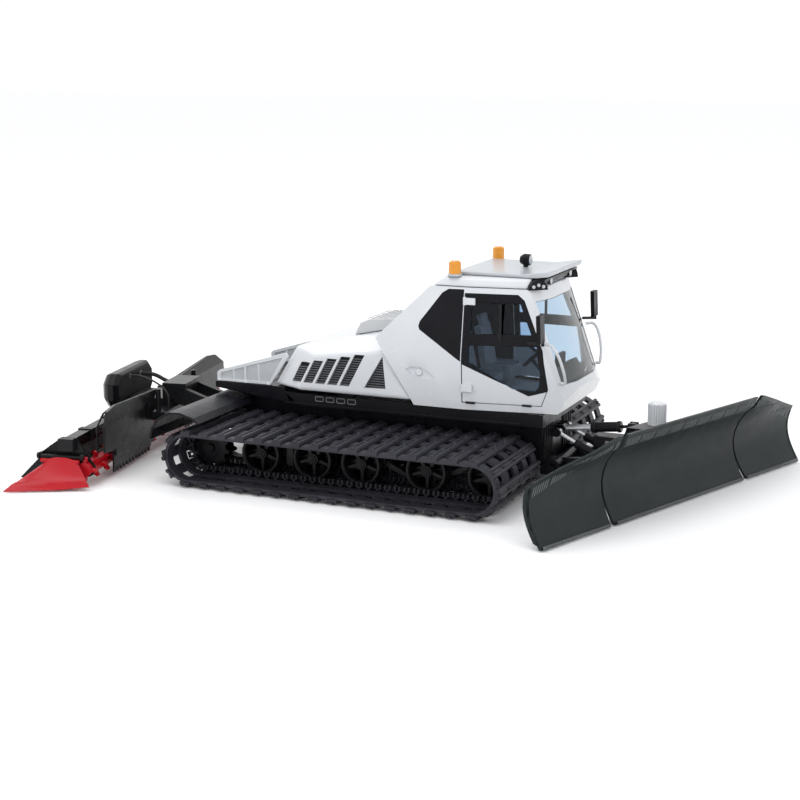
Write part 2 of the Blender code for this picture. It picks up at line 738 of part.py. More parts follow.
def push_frame(parent, finish):
    """The lift arms, with the fork that holds the swivel pin and the pins of the cylinders."""
    swivel = SWIVEL_X - LIFT_X
    made = solid("push_frame", rod((0, -36, 0), (0, 36, 0), 2.0, 12), finish, parent)
    join(made, rod((0, -21.5, 0), (0, 21.5, 0), 5.0, 16))
    foot = (RAISE_FOOT[0] - LIFT_X, RAISE_FOOT[1] - LIFT_Z)
    for side in (-1, 1):
        low, high = sorted((side * 17, side * 21.5))
        join(made, prism([(-3, -4), (24, -8), (38, -8), (39, 5), (32, 8), (-3, 4)], low, high, "Y"))
        low, high = sorted((side * 5, side * 18))
        join(made, rod((foot[0], low, foot[1]), (foot[0], high, foot[1]), PIN_RADIUS, 10))
    join(made, block((22, -21.5, -8), (31, 21.5, -4)))
    join(made, block((24, -8, -7), (33, 8, 21.5)))
    join(made, block((27, -8, -9), (swivel + 7, 8, -5)))
    join(made, block((27, -8, 18.5), (swivel + 7, 8, 21.5)))
    join(made, rod((swivel, 0, -6), (swivel, 0, 19), 3.0, 12))
    eye = (TILT_FOOT[0] - LIFT_X, TILT_FOOT[1] - LIFT_Z)
    ear = [
        (swivel + 3, 20),
        (swivel + 7, 20),
        (eye[0] + 3.5, eye[1] - 3),
        (eye[0] + 3.5, eye[1] + 3),
        (eye[0] - 3, eye[1] + 3),
        (eye[0] - 5, eye[1] - 4),
    ]
    for low, high in ((-4.2, -2.0), (2.0, 4.2)):
        join(made, prism(ear, low, high, "Y"))
    join(made, rod((eye[0], -3, eye[1]), (eye[0], 3, eye[1]), PIN_RADIUS, 10))
    return made


def carrier(parent, finish):
    """The sleeve on the swivel pin, its arm, and the plate behind the blade with the knob's shelf."""
    bottom = LIFT_Z - 5 + GAP
    top = LIFT_Z + 18.5 - GAP
    made = solid("blade_carrier", rod((0, 0, bottom), (0, 0, top), 7.5, 20), finish, parent)
    join(made, block((2, -9, bottom + 3), (40, 9, top - 3)))
    join(made, block((38, -62, 16), (CARRIER_X, 62, 42)))
    join(made, prism([(18, 50), (26, 53), (50, 53), (50, 56), (18, 54)], -17, 17, "Y"))
    join(made, block((36, -15, 36), (CARRIER_X, 15, 54)))
    cut(made, rod((0, 0, bottom - 2), (0, 0, top + 2), 3.0 + PIN_PLAY, 16))
    return made


def blade_face(z):
    """How far forward the curved face lies at a height: hollow at mid height, leaning forward at the top."""
    lower = 12.5 * math.sin(math.pi * min(z, 60.0) / 60.0)
    return BLADE_EDGE_X - lower + 0.55 * max(0.0, z - 52.0)


def blade_profile(top, thick):
    steps = 9
    heights = [BLADE_BOTTOM_Z + (top - BLADE_BOTTOM_Z) * i / steps for i in range(steps + 1)]
    front = [(blade_face(z), z) for z in heights]
    back = [(blade_face(z) - thick, z) for z in reversed(heights)]
    return front + back


def blade(parent, finish):
    shape = prism(blade_profile(BLADE_TOP_Z, BLADE_THICK), -BLADE_SEAM_Y, BLADE_SEAM_Y, "Y")
    made = solid("blade_centre", shape, finish, parent)
    seat = CARRIER_X + GAP
    inside = [(blade_face(z) - BLADE_THICK / 2, z) for z in (12.0, 20.0, 28.0, 36.0, 44.0, 52.0)]
    for y in (-BLADE_SEAM_Y + 8, -30.0, 30.0, BLADE_SEAM_Y - 8):
        join(made, prism([(seat, 12), *inside, (seat, 46)], y - 2, y + 2, "Y"))
    for side in (-1, 1):
        pin_y = side * WING_HINGE_Y
        for low, high in ((12.0, SLEEVE_LOW_Z - GAP), (SLEEVE_HIGH_Z + GAP, 46.0)):
            inner, outer = sorted((side * (BLADE_SEAM_Y - 10), side * (WING_HINGE_Y + 2.2)))
            join(made, block((WING_HINGE_X - 1.7, inner, low), (WING_HINGE_X + 1.7, outer, high)))
        join(made, rod((WING_HINGE_X, pin_y, 13), (WING_HINGE_X, pin_y, 45), PIN_RADIUS, 10))
    return made


def blade_wing(side, parent, finish):
    """An outer wing whose top falls towards its end, with the sleeve of its hinge at the back of the seam.

    The seam opens above and below the middle, where the face lies ahead of the hinge, so the wing can fold.
    """
    tag = "left" if side > 0 else "right"
    low, high = sorted((side * BLADE_SEAM_Y, side * BLADE_HALF))
    shape = prism(blade_profile(BLADE_TOP_Z, BLADE_THICK), low, high, "Y")
    made = solid(f"blade_wing_{tag}", shape, finish, parent)
    inner = side * (WING_HINGE_Y + 1.5)
    low, high = sorted((inner, inner + side * 7))
    join(made, block((WING_HINGE_X - 1.7, low, 18), (WING_HINGE_X + 3.5, high, 40)))
    seam = [(side * (BLADE_SEAM_Y - 9), 80.0), (side * (BLADE_SEAM_Y - 9), -2.0)]
    for step in range(12):
        z = -2.0 + 82.0 * step / 11
        seam.append((side * (BLADE_SEAM_Y + 0.8 + WING_SPREAD * (blade_face(z) - WING_HINGE_X)), z))
    cut(made, prism(seam, 44.3, 95, "X"))
    drop = [
        (side * (BLADE_SEAM_Y + 9), 90.0),
        (side * (BLADE_SEAM_Y + 9), BLADE_TOP_Z),
        (side * (BLADE_HALF + 1), BLADE_WING_END_Z),
        (side * (BLADE_HALF + 30), 40.0),
        (side * (BLADE_HALF + 30), 90.0),
    ]
    cut(made, prism(drop, 30, 95, "X"))
    pin_y = side * WING_HINGE_Y
    join(made, rod((WING_HINGE_X, pin_y, SLEEVE_LOW_Z), (WING_HINGE_X, pin_y, SLEEVE_HIGH_Z), 2.2, 14))
    cut(made, rod((WING_HINGE_X, pin_y, 10), (WING_HINGE_X, pin_y, 50), PIN_RADIUS + PIN_PLAY, 12))
    return made


def knob(parent, finish):
    outline = []
    for flute in range(16):
        for part, radius in ((0.0, 7.1), (0.5, 7.1), (0.6, 6.5), (0.9, 6.5)):
            angle = 2 * math.pi * (flute + part) / 16
            outline.append((KNOB_X + radius * math.cos(angle), radius * math.sin(angle)))
    return solid("swivel_knob", prism(outline, 56 + GAP, 73.5, "Z"), finish, parent)


# ---------------------------------------------------------------- cylinders of the front linkage


def barrel(name, eye, far, length, radius, bore, finish, parent, ears):
    """A cylinder barrel from its eye towards the far pin, bored for its rod, in the parent's frame."""
    eye, far = Vector(eye), Vector(far)
    along = (far - eye).normalized()
    y = eye.y
    made = solid(name, rod(eye + along * (BORE_START - 3), eye + along * length, radius, 16), finish, parent)
    join(made, rod((eye.x, y - ears, eye.z), (eye.x, y + ears, eye.z), EYE_RADIUS, 14))
    join(made, rod(eye + along * 1.5, eye + along * (BORE_START - 2), ears - 0.3, 8))
    cut(made, rod(eye + along * BORE_START, eye + along * (length + 2), bore, 14))
    cut(made, rod((eye.x, y - ears - 1, eye.z), (eye.x, y + ears + 1, eye.z), PIN_RADIUS + PIN_PLAY, 10))
    return made


def piston_rod(name, eye, start, radius, finish, parent, ears):
    """A piston rod from inside its barrel to its own eye."""
    eye, start = Vector(eye), Vector(start)
    along = (start - eye).normalized()
    y = eye.y
    made = solid(name, rod(eye + along * 1.5, start, radius, 12), finish, parent)
    join(made, rod((eye.x, y - ears, eye.z), (eye.x, y + ears, eye.z), EYE_RADIUS, 14))
    cut(made, rod((eye.x, y - ears - 1, eye.z), (eye.x, y + ears + 1, eye.z), PIN_RADIUS + PIN_PLAY, 10))
    return made


def cylinders(lift, white, steel):
    def place(x, y, z):
        return Vector((x - LIFT_X, y, z - LIFT_Z))

    for y, tag in ((-RAISE_Y, "right"), (RAISE_Y, "left")):
        foot = place(RAISE_FOOT[0], y, RAISE_FOOT[1])
        top = place(RAISE_TOP[0], y, RAISE_TOP[1])
        inner = foot + (top - foot).normalized() * (BORE_START + ROD_REACH)
        barrel(f"lift_barrel_{tag}", foot, top, 27.0, 3.2, 1.9, white, lift, 1.7)
        piston_rod(f"lift_rod_{tag}", top, inner, 1.5, steel, lift, 1.7)
    foot = place(TILT_FOOT[0], 0, TILT_FOOT[1])
    top = place(TILT_TOP[0], 0, TILT_TOP[1])
    inner = foot + (top - foot).normalized() * (BORE_START + ROD_REACH)
    barrel("tilt_barrel", foot, top, 33.0, 4.0, 2.9, white, lift, 1.6)
    piston_rod("tilt_rod", top, inner, 2.6, steel, lift, 2.8)


# ---------------------------------------------------------------- tiller


def swing_frame(parent, finish):
    """The knuckle on the rear pin: it swings about the pin and carries the tiller's lift axle."""
    made = solid("swing_frame", rod((0, 0, 26 + GAP), (0, 0, 46 - GAP), 6.0, 20), finish, parent)
    join(made, block((LIFT_ARM_X, -5, 31), (-2, 5, 41)))
    join(made, rod((LIFT_ARM_X, -12.5, TILLER_LIFT_Z), (LIFT_ARM_X, 12.5, TILLER_LIFT_Z), 4.0, 16))
    join(made, rod((LIFT_ARM_X, -20, TILLER_LIFT_Z), (LIFT_ARM_X, 20, TILLER_LIFT_Z), 2.0, 12))
    cut(made, rod((0, 0, 20), (0, 0, 50), 3.0 + PIN_PLAY, 16))
    return made


def tiller_frame(parent, finish):
    """Arms, hitch box, neck, square tube, and the end plates that hold the shaft and the side finishers."""
    z = TILLER_LIFT_Z
    tube = block((TUBE_X - TUBE_DEPTH, -TUBE_HALF, TUBE_Z), (TUBE_X, TUBE_HALF, TUBE_TOP_Z))
    made = solid("tiller_frame", tube, finish, parent)
    seat = GUARD_X + GAP
    join(made, block((TUBE_X - 4, -20, 30), (-58, 20, 44)))
    join(made, block((seat, -HITCH_HALF, 40), (-46, HITCH_HALF, HITCH_TOP_Z)))
    join(made, block((seat, -BEAM_HALF, 31), (-54, BEAM_HALF, BEAM_TOP_Z)))
    for side in (-1, 1):
        low, high = sorted((side * 13, side * 18.5))
        arm = arc((LIFT_ARM_X, z), 4.5, -80, 80, 6) + [(-50, 54), (-56, 44), (-56, 40)]
        join(made, prism(arm, low, high, "Y"))
        post = side * (BEAM_HALF - 3)
        join(made, rod((-61, post, BEAM_TOP_Z - 1), (-61, post, HITCH_TOP_Z), 2.2, 12))
        low, high = sorted((side * PLATE_Y, side * (PLATE_Y + PLATE_THICK)))
        front = arc((SHAFT_X, SHAFT_Z), 7.0, -100, 60, 6)
        back = [(-113, 29), (-120, 24), (-120, 17), (-112, 6)]
        join(made, prism([*front, (TUBE_X + 2, 37), (TUBE_X - 10, 37), *back], low, high, "Y"))
        pin_y = side * FINISHER_Y
        pin = [(x, pin_y, FINISHER_Z) for x in (FINISHER_REAR_X - 2, FINISHER_FRONT_X + 2)]
        for x in (FINISHER_FRONT_X, FINISHER_REAR_X - 2):
            join(made, rod((x, pin_y, FINISHER_Z), (x + 2, pin_y, FINISHER_Z), 2.6, 14))
            low, high = sorted((side * (PLATE_Y + 1), pin_y))
            join(made, block((x, low, FINISHER_Z - 2), (x + 2, high, FINISHER_Z + 2)))
        join(made, rod(*pin, PIN_RADIUS, 10))
    bearing = [(SHAFT_X, y, SHAFT_Z) for y in (-PLATE_Y - 9, PLATE_Y + 9)]
    cut(made, rod(*bearing, JOURNAL_RADIUS + PIN_PLAY, 14))
    cut(made, rod((LIFT_ARM_X, -25, z), (LIFT_ARM_X, 25, z), 2.0 + PIN_PLAY, 12))
    return made


def shaft(parent, finish):
    """The toothed shaft: a drum with rings of teeth, each ring turned a little on from the last."""
    end = PLATE_Y - 0.6
    journal = PLATE_Y + PLATE_THICK + 1.5
    drum = rod((SHAFT_X, -end, SHAFT_Z), (SHAFT_X, end, SHAFT_Z), SHAFT_RADIUS, 16)
    made = solid("tiller_shaft", drum, finish, parent)
    join(made, rod((SHAFT_X, -journal, SHAFT_Z), (SHAFT_X, journal, SHAFT_Z), JOURNAL_RADIUS, 12))
    for ring in range(SHAFT_RINGS):
        y = (end - 6) * (2 * ring / (SHAFT_RINGS - 1) - 1)
        outline = []
        for tooth in range(6):
            for part, reach in ((0.0, -1.0), (0.6, -1.0), (0.72, SHAFT_TOOTH), (0.85, SHAFT_TOOTH)):
                angle = 2 * math.pi * (tooth + part + 0.37 * ring) / 6
                radius = SHAFT_RADIUS + reach
                outline.append((SHAFT_X + radius * math.cos(angle), SHAFT_Z + radius * math.sin(angle)))
        join(made, prism(outline, y - 3, y + 3, "Y"))
    return made


def tiller_guard(side, parent, finish):
    """An upright plate in front of one half of the shaft, whose upper edge leans back."""
    tag = "left" if side > 0 else "right"
    sheet = [(0, 10), (0, 46.5), (-5, 60), (-7.2, 59.2), (-2, 46.9), (-2, 10)]
    low, high = sorted((side * 22, side * 141))
    upright = prism([(GUARD_X + x, z) for x, z in sheet], low, high, "Y")
    made = solid(f"tiller_guard_{tag}", upright, finish, parent)
    face = [(24, 53), (37, 45), (39, 11), (118, 18), (119, 24), (140, 25), (139, 46), (126, 55), (108, 57)]
    keep(made, prism([(side * y, z) for y, z in face], -140, -60, "X"))
    return made


def motor_cover(parent, finish):
    seat = TUBE_TOP_Z + GAP
    outline = [(-42, seat), (-42, 56), (-26, 66), (26, 66), (42, 56), (42, seat)]
    return solid("motor_cover", prism(outline, MOTOR_FRONT_X - 16, MOTOR_FRONT_X, "X"), finish, parent)


def tiller_housing(parent, finish):
    """The curved sheet behind the shaft, from its rim down to the comb."""
    outer = arc((SHAFT_X - 4, SHAFT_Z + 3), 31.0, 155, 200, 6)
    inner = arc((SHAFT_X - 4, SHAFT_Z + 3), 29.0, 200, 155, 6)
    reach = PLATE_Y - GAP
    return solid("tiller_housing", prism(outer + inner, -reach, reach, "Y"), finish, parent)


def comb(parent, finish):
    """The finishing comb: a tube on the back of the housing, with a flap that trails behind it."""
    back = SHAFT_X - 4 - 31.0 - GAP
    reach = PLATE_Y - 2
    flap = [(back, 21), (back, 11), (-137, 1.2), (-141, 1.2), (back - 4, 21)]
    return solid("tiller_comb", prism(flap, -reach, reach, "Y"), finish, parent)


def side_finisher(side, parent, finish):
    """A sloped plate beside the tiller that flares to the ground, hung from its top edge."""
    tag = "left" if side > 0 else "right"
    rear = FINISHER_REAR_X + GAP
    front = FINISHER_FRONT_X - GAP
    y = side * FINISHER_Y
    outward = Vector((0, side * 0.75, 0.66)) * 2.2
    shape = bmesh.new()
    corners = (
        (front - 2.2, y + side, FINISHER_Z),
        (rear + 2.2, y + side, FINISHER_Z),
        (-135, side * 179, 0.5),
        (-81, side * 161, 0.5),
    )
    under = [shape.verts.new(corner) for corner in corners]
    over = [shape.verts.new(corner.co + outward) for corner in under]
    for a, b, c in ((0, 1, 2), (0, 2, 3)):
        shape.faces.new([under[a], under[b], under[c]])
        shape.faces.new([over[c], over[b], over[a]])
    for a in range(4):
        b = (a + 1) % 4
        shape.faces.new([under[b], under[a], over[a], over[b]])
    made = solid(f"side_finisher_{tag}", shape, finish, parent)
    join(made, rod((rear, y, FINISHER_Z), (front, y, FINISHER_Z), 2.8, 14))
    cut(made, rod((rear - 3, y, FINISHER_Z), (front + 3, y, FINISHER_Z), PIN_RADIUS + PIN_PLAY, 10))
    return made


def hoses(parent, finish):
    """A ribbed hose and a thin braided one, both from the front of the motor cover down to the hitch."""
    face = MOTOR_FRONT_X + GAP
    ribbed = []
    for step in range(9):
        t = step / 8
        ease = (1 - math.cos(math.pi * t)) / 2
        arch = math.sin(math.pi * t) ** 2
        ribbed.append((face + t * (GUARD_X - face), 12 - 6 * ease, 58 - 5 * ease + 2 * arch))
    pipe("hose_ribbed", ribbed, 1.5, finish, parent)
    braided = [
        (face, -12, 60.5),
        (face + 6, -13, 61.5),
        (-84, -16, 61.0),
        (-73, -20.5, 58.5),
        (-63, -24.5, 54.0),
        (-58.5, -26, 48.0),
        (-58, -26.2, 43.0),
        (-58, -26.2, BEAM_TOP_Z + GAP),
    ]
    pipe("hose_braided", braided, 0.8, finish, parent)


# ---------------------------------------------------------------- assembly


def main():
    clear_scene()
    white = material("white_body", (0.86, 0.87, 0.88), 0.3)
    silver = material("silver_roof", (0.62, 0.65, 0.67), 0.35, 0.3)
    black = material("black_plastic", (0.02, 0.02, 0.024), 0.45)
    track_grey = material("track_grey", (0.055, 0.055, 0.06), 0.6)
    wheel_black = material("wheel_black", (0.012, 0.012, 0.013), 0.4)
    glass = material("cab_glass", (0.55, 0.66, 0.72), 0.05, 0.0, 0.35)
    amber = material("beacon_amber", (0.9, 0.42, 0.01), 0.2)
    blade_green = material("blade_black", (0.035, 0.042, 0.043), 0.45)
    red = material("tiller_red", (0.7, 0.01, 0.02), 0.4)
    steel = material("cylinder_steel", (0.6, 0.6, 0.62), 0.3, 0.8)

    machine = frame("machine", None, (DATUM[0], DATUM[1], 0.0))
    hull(machine, black)
    deck(machine, black)
    for side in (-1, 1):
        track(side, machine, track_grey)
        running_gear(side, machine, wheel_black, wheel_black)
        guard(side, machine, black)
        rack(side, machine, white)
    hood(machine, white)
    step_box(machine, white)
    cab(machine, white, glass)
    roof(machine, white)
    roof_fittings(machine, silver, amber, black)
    cab_interior(machine, black)
    for side in (-1, 1):
        side_fittings(side, machine, white, black)
        hinge = frame(f"door_hinge_{side}", machine, (DOOR_HINGE_X, side * DOOR_HINGE_Y, 0.0))
        door(side, hinge, white, glass)

    lift = frame("blade_lift_axis", machine, (LIFT_X, 0.0, LIFT_Z))
    push_frame(lift, black)
    swivel = frame("blade_swivel_axis", machine, (SWIVEL_X, 0.0, 0.0), BLADE_YAW)
    carrier(swivel, black)
    blade(swivel, blade_green)
    knob(swivel, white)
    for side in (-1, 1):
        blade_wing(side, swivel, blade_green)
    cylinders(lift, white, steel)

    swing = frame("tiller_swing_axis", machine, (SWING_X, 0.0, 0.0), TILLER_YAW)
    swing_frame(swing, black)
    tiller_frame(swing, black)
    shaft(swing, red)
    motor_cover(swing, black)
    tiller_housing(swing, black)
    comb(swing, black)
    hoses(swing, black)
    for side in (-1, 1):
        tiller_guard(side, swing, black)
        side_finisher(side, swing, red)


main()
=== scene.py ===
"""Looks of a toy snow groomer at 1:16: tracks, hollow cab, front blade and rear tiller."""

import json
import math

import bmesh
import bpy
from mathutils import Matrix, Vector


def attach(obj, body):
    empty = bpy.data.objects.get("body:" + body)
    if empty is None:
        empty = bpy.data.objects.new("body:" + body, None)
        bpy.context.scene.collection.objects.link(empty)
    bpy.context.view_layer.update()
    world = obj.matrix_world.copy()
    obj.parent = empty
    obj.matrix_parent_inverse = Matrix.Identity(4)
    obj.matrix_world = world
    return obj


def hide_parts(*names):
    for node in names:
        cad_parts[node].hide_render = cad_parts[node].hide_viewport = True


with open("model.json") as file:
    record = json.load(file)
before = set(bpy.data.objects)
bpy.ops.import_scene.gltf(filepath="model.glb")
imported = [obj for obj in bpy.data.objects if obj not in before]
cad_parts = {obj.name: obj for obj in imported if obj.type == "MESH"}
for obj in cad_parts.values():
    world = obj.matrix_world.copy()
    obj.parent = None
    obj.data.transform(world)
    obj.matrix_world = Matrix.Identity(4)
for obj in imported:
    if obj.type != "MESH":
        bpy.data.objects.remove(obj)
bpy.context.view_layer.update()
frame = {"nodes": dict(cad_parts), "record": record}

# ---------------------------------------------------------------- camera
# A long lens off the machine's right-hand front side, a little above it.
# It looks down at about twelve degrees, upright, with no shift.

camera_data = bpy.data.cameras.new("camera")
camera_data.sensor_width = 36.0
camera_data.lens = 73.7
camera_data.clip_start = 0.05
camera = bpy.data.objects.new("camera", camera_data)
azimuth, elevation = math.radians(23.32), math.radians(12.263)
backwards = Vector(
    (math.sin(azimuth) * math.cos(elevation), -math.cos(azimuth) * math.cos(elevation), math.sin(elevation))
)
camera.rotation_euler = (-backwards).to_track_quat("-Z", "Y").to_euler()
camera.location = (0.52046, -1.17263, 0.33718)
bpy.context.scene.collection.objects.link(camera)
bpy.context.scene.camera = camera

# ---------------------------------------------------------------- hoses
# Two hoses of black rubber join the motor cover to the hitch: a ribbed one and a thin braided one.
# Both are moulded at one length, and end a hair short of the faces they meet.

MACHINE_ORIGIN = (-0.1031, 0.0234, 0.0)
TILLER_PIVOT_X, TILLER_TURN = -36.0, math.radians(10.0)
BLADE_PIVOT_X, BLADE_TURN = 292.5, math.radians(-20.0)
machine_place = Matrix.Translation(MACHINE_ORIGIN) @ Matrix.Scale(0.001, 4)
tiller_turn = Matrix.Translation((TILLER_PIVOT_X, 0.0, 0.0)) @ Matrix.Rotation(TILLER_TURN, 4, "Z")
tiller_place = machine_place @ tiller_turn
blade_turn = Matrix.Translation((BLADE_PIVOT_X, 0.0, 0.0)) @ Matrix.Rotation(BLADE_TURN, 4, "Z")
blade_place = machine_place @ blade_turn

MOTOR_FACE_X = -97.7
HITCH_FACE_X = -67.0
ribbed_route = []
for step in range(9):
    t = step / 8
    ease = (1 - math.cos(math.pi * t)) / 2
    arch = math.sin(math.pi * t) ** 2
    along = MOTOR_FACE_X + t * (HITCH_FACE_X - MOTOR_FACE_X)
    ribbed_route.append(Vector((along, 12 - 6 * ease, 58 - 5 * ease + 2 * arch)))
braided_route = [
    Vector(p)
    for p in (
        (MOTOR_FACE_X, -12, 60.5),
        (MOTOR_FACE_X + 6, -13, 61.5),
        (-84, -16, 61.0),
        (-73, -20.5, 58.5),
        (-63, -24.5, 54.0),
        (-58.5, -26, 48.0),
        (-58, -26.2, 43.0),
        (-58, -26.2, 38.3),
    )
]


def hose_line(knots, steps=3):
    """Points on a smooth curve through the given ones."""
    knots = [2 * knots[0] - knots[1], *knots, 2 * knots[-1] - knots[-2]]
    line = []
    for a, b, c, d in zip(knots, knots[1:], knots[2:], knots[3:]):
        for step in range(steps):
            t = step / steps
            square = (2 * a - 5 * b + 4 * c - d) * t**2
            cube = (3 * b - a - 3 * c + d) * t**3
            line.append(0.5 * (2 * b + (c - a) * t + square + cube))
    return [*line, knots[-2]]


def hose_rubber(name, rings, depth):
    """Black rubber, dulled in patches, with rings or a braid pressed into it."""
    made = bpy.data.materials.new(name)
    made.use_nodes = True
    nodes, links = made.node_tree.nodes, made.node_tree.links
    shader = nodes["Principled BSDF"]
    shader.inputs["Specular IOR Level"].default_value = 0.35
    place = nodes.new("ShaderNodeTexCoord")
    dust = nodes.new("ShaderNodeTexNoise")
    dust.inputs["Scale"].default_value = 220.0
    tint = nodes.new("ShaderNodeValToRGB")
    tint.color_ramp.elements[0].color = (0.012, 0.012, 0.013, 1)
    tint.color_ramp.elements[1].color = (0.045, 0.045, 0.048, 1)
    dull = nodes.new("ShaderNodeMapRange")
    dull.inputs["To Min"].default_value = 0.42
    dull.inputs["To Max"].default_value = 0.68
    weave = nodes.new("ShaderNodeTexWave")
    weave.inputs["Scale"].default_value = rings
    weave.inputs["Distortion"].default_value = 0.6
    bump = nodes.new("ShaderNodeBump")
    bump.inputs["Strength"].default_value = 0.6
    bump.inputs["Distance"].default_value = depth
    links.new(place.outputs["Object"], dust.inputs["Vector"])
    links.new(place.outputs["Object"], weave.inputs["Vector"])
    links.new(dust.outputs["Fac"], tint.inputs["Fac"])
    links.new(dust.outputs["Fac"], dull.inputs["Value"])
    links.new(tint.outputs["Color"], shader.inputs["Base Color"])
    links.new(dull.outputs["Result"], shader.inputs["Roughness"])
    links.new(weave.outputs["Fac"], bump.inputs["Height"])
    links.new(bump.outputs["Normal"], shader.inputs["Normal"])
    return made


def hose(name, knots, thick, finish, node, rib=None):
    """A hose as a curve along its route, and its ribs as rings that go with it."""
    route = [tiller_place @ p for p in hose_line(knots)]
    data = bpy.data.curves.new(name, "CURVE")
    data.dimensions = "3D"
    data.bevel_depth = thick / 2000
    data.bevel_resolution = 2
    data.use_fill_caps = True
    line = data.splines.new("POLY")
    line.points.add(len(route) - 1)
    for knot, place in zip(line.points, route):
        knot.co = (*place, 1.0)
    data.materials.append(finish)
    made = bpy.data.objects.new(name, data)
    bpy.context.scene.collection.objects.link(made)
    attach(made, "tiller")
    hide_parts(node)
    rings = []
    if rib:
        shape = bmesh.new()
        fine = hose_line(knots, 6)
        for here, after in list(zip(fine, fine[1:]))[2:-2]:
            turn = (after - here).to_track_quat("Z", "Y").to_matrix().to_4x4()
            bmesh.ops.create_cone(
                shape,
                cap_ends=True,
                segments=14,
                radius1=thick / 2 + rib,
                radius2=thick / 2 + rib,
                depth=0.34,
                matrix=tiller_place @ Matrix.Translation(here) @ turn,
            )
        mesh = bpy.data.meshes.new(f"{name}_ribs")
        shape.to_mesh(mesh)
        shape.free()
        mesh.materials.append(finish)
        rings = [bpy.data.objects.new(f"{name}_ribs", mesh)]
        bpy.context.scene.collection.objects.link(rings[0])
        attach(rings[0], "tiller")


hose("hose_ribbed_rubber", ribbed_route, 3.0, hose_rubber("hose_rubber", 900.0, 0.0001), "hose_ribbed", 0.22)
hose("hose_braided_rubber", braided_route, 1.6, hose_rubber("hose_braid", 1900.0, 0.00008), "hose_braided")

# ---------------------------------------------------------------- studio
# A plain pale floor of matt paper under a bright even sky and three large soft lamps.

floor_shape = bmesh.new()
bmesh.ops.create_grid(floor_shape, x_segments=1, y_segments=1, size=9.0)
floor_mesh = bpy.data.meshes.new("floor")
floor_shape.to_mesh(floor_mesh)
floor_shape.free()
floor_finish = bpy.data.materials.new("floor_paper")
floor_finish.use_nodes = True
floor_finish.node_tree.nodes["Principled BSDF"].inputs["Base Color"].default_value = (0.97, 0.97, 0.975, 1)
floor_finish.node_tree.nodes["Principled BSDF"].inputs["Roughness"].default_value = 0.9
floor_mesh.materials.append(floor_finish)
floor = bpy.data.objects.new("floor", floor_mesh)
floor.location = (0, 0, -0.0006)
bpy.context.scene.collection.objects.link(floor)

world = bpy.data.worlds.new("studio")
bpy.context.scene.world = world
world.use_nodes = True
world.node_tree.nodes["Background"].inputs["Color"].default_value = (0.985, 0.99, 1.0, 1)
world.node_tree.nodes["Background"].inputs["Strength"].default_value = 1.03
bpy.context.scene.view_settings.view_transform = "Standard"

for name, place, size, power in (
    ("lamp_over", (-0.3, -0.5, 1.9), 1.2, 9.0),
    ("lamp_side", (1.7, -1.1, 1.1), 0.7, 5.0),
    ("lamp_rear", (-1.4, 1.2, 1.3), 1.2, 8.0),
):
    lamp_data = bpy.data.lights.new(name, "AREA")
    lamp_data.energy = power
    lamp_data.size = size
    lamp = bpy.data.objects.new(name, lamp_data)
    lamp.location = place
    lamp.rotation_euler = (Vector((0.0, 0.0, 0.06)) - Vector(place)).to_track_quat("-Z", "Y").to_euler()
    bpy.context.scene.collection.objects.link(lamp)

# ---------------------------------------------------------------- hull and deck
# The hull is one black plastic moulding with a platform on top for hood and cab, ribbed at the nose,
# with four small outlined frames along each sill. The rear deck is a moulded plate on the hull's tail.


def moulded_plastic(name, low, high, rough, grain=2600.0, depth=0.00004, coat=0.0, metallic=0.0, shine=0.5):
    """Injection-moulded plastic: a slow drift of tone, uneven gloss, and the fine grain of its tool."""
    made = bpy.data.materials.new(name)
    made.use_nodes = True
    nodes, links = made.node_tree.nodes, made.node_tree.links
    shader = nodes["Principled BSDF"]
    shader.inputs["Metallic"].default_value = metallic
    shader.inputs["Specular IOR Level"].default_value = shine
    shader.inputs["Coat Weight"].default_value = coat
    shader.inputs["Coat Roughness"].default_value = 0.12
    place = nodes.new("ShaderNodeTexCoord")
    drift = nodes.new("ShaderNodeTexNoise")
    drift.inputs["Scale"].default_value = 16.0
    drift.inputs["Detail"].default_value = 4.0
    tint = nodes.new("ShaderNodeValToRGB")
    tint.color_ramp.elements[0].position = 0.32
    tint.color_ramp.elements[1].position = 0.68
    tint.color_ramp.elements[0].color = (*low, 1)
    tint.color_ramp.elements[1].color = (*high, 1)
    wear = nodes.new("ShaderNodeTexNoise")
    wear.inputs["Scale"].default_value = 90.0
    wear.inputs["Detail"].default_value = 5.0
    gloss = nodes.new("ShaderNodeMapRange")
    gloss.inputs["From Min"].default_value = 0.3
    gloss.inputs["From Max"].default_value = 0.7
    gloss.inputs["To Min"].default_value = rough - 0.06
    gloss.inputs["To Max"].default_value = rough + 0.08
    skin = nodes.new("ShaderNodeTexNoise")
    skin.inputs["Scale"].default_value = grain
    bump = nodes.new("ShaderNodeBump")
    bump.inputs["Strength"].default_value = 0.25
    bump.inputs["Distance"].default_value = depth
    for texture in (drift, wear, skin):
        links.new(place.outputs["Object"], texture.inputs["Vector"])
    links.new(drift.outputs["Fac"], tint.inputs["Fac"])
    links.new(wear.outputs["Fac"], gloss.inputs["Value"])
    links.new(skin.outputs["Fac"], bump.inputs["Height"])
    links.new(tint.outputs["Color"], shader.inputs["Base Color"])
    links.new(gloss.outputs["Result"], shader.inputs["Roughness"])
    links.new(bump.outputs["Normal"], shader.inputs["Normal"])
    return made


body_black = moulded_plastic("body_black", (0.003, 0.003, 0.005), (0.007, 0.007, 0.010), 0.3, shine=0.16)
satin_black = moulded_plastic("satin_black", (0.008, 0.008, 0.009), (0.015, 0.015, 0.017), 0.42, shine=0.18)


def rounded(made, edge, smooth, segments):
    """Rounds a piece's edges to a radius in millimetres."""
    rounding = made.modifiers.new("rounding", "BEVEL")
    rounding.width = edge / 1000
    rounding.segments = segments
    rounding.limit_method = "ANGLE"
    rounding.angle_limit = math.radians(smooth)
    rounding.harden_normals = True


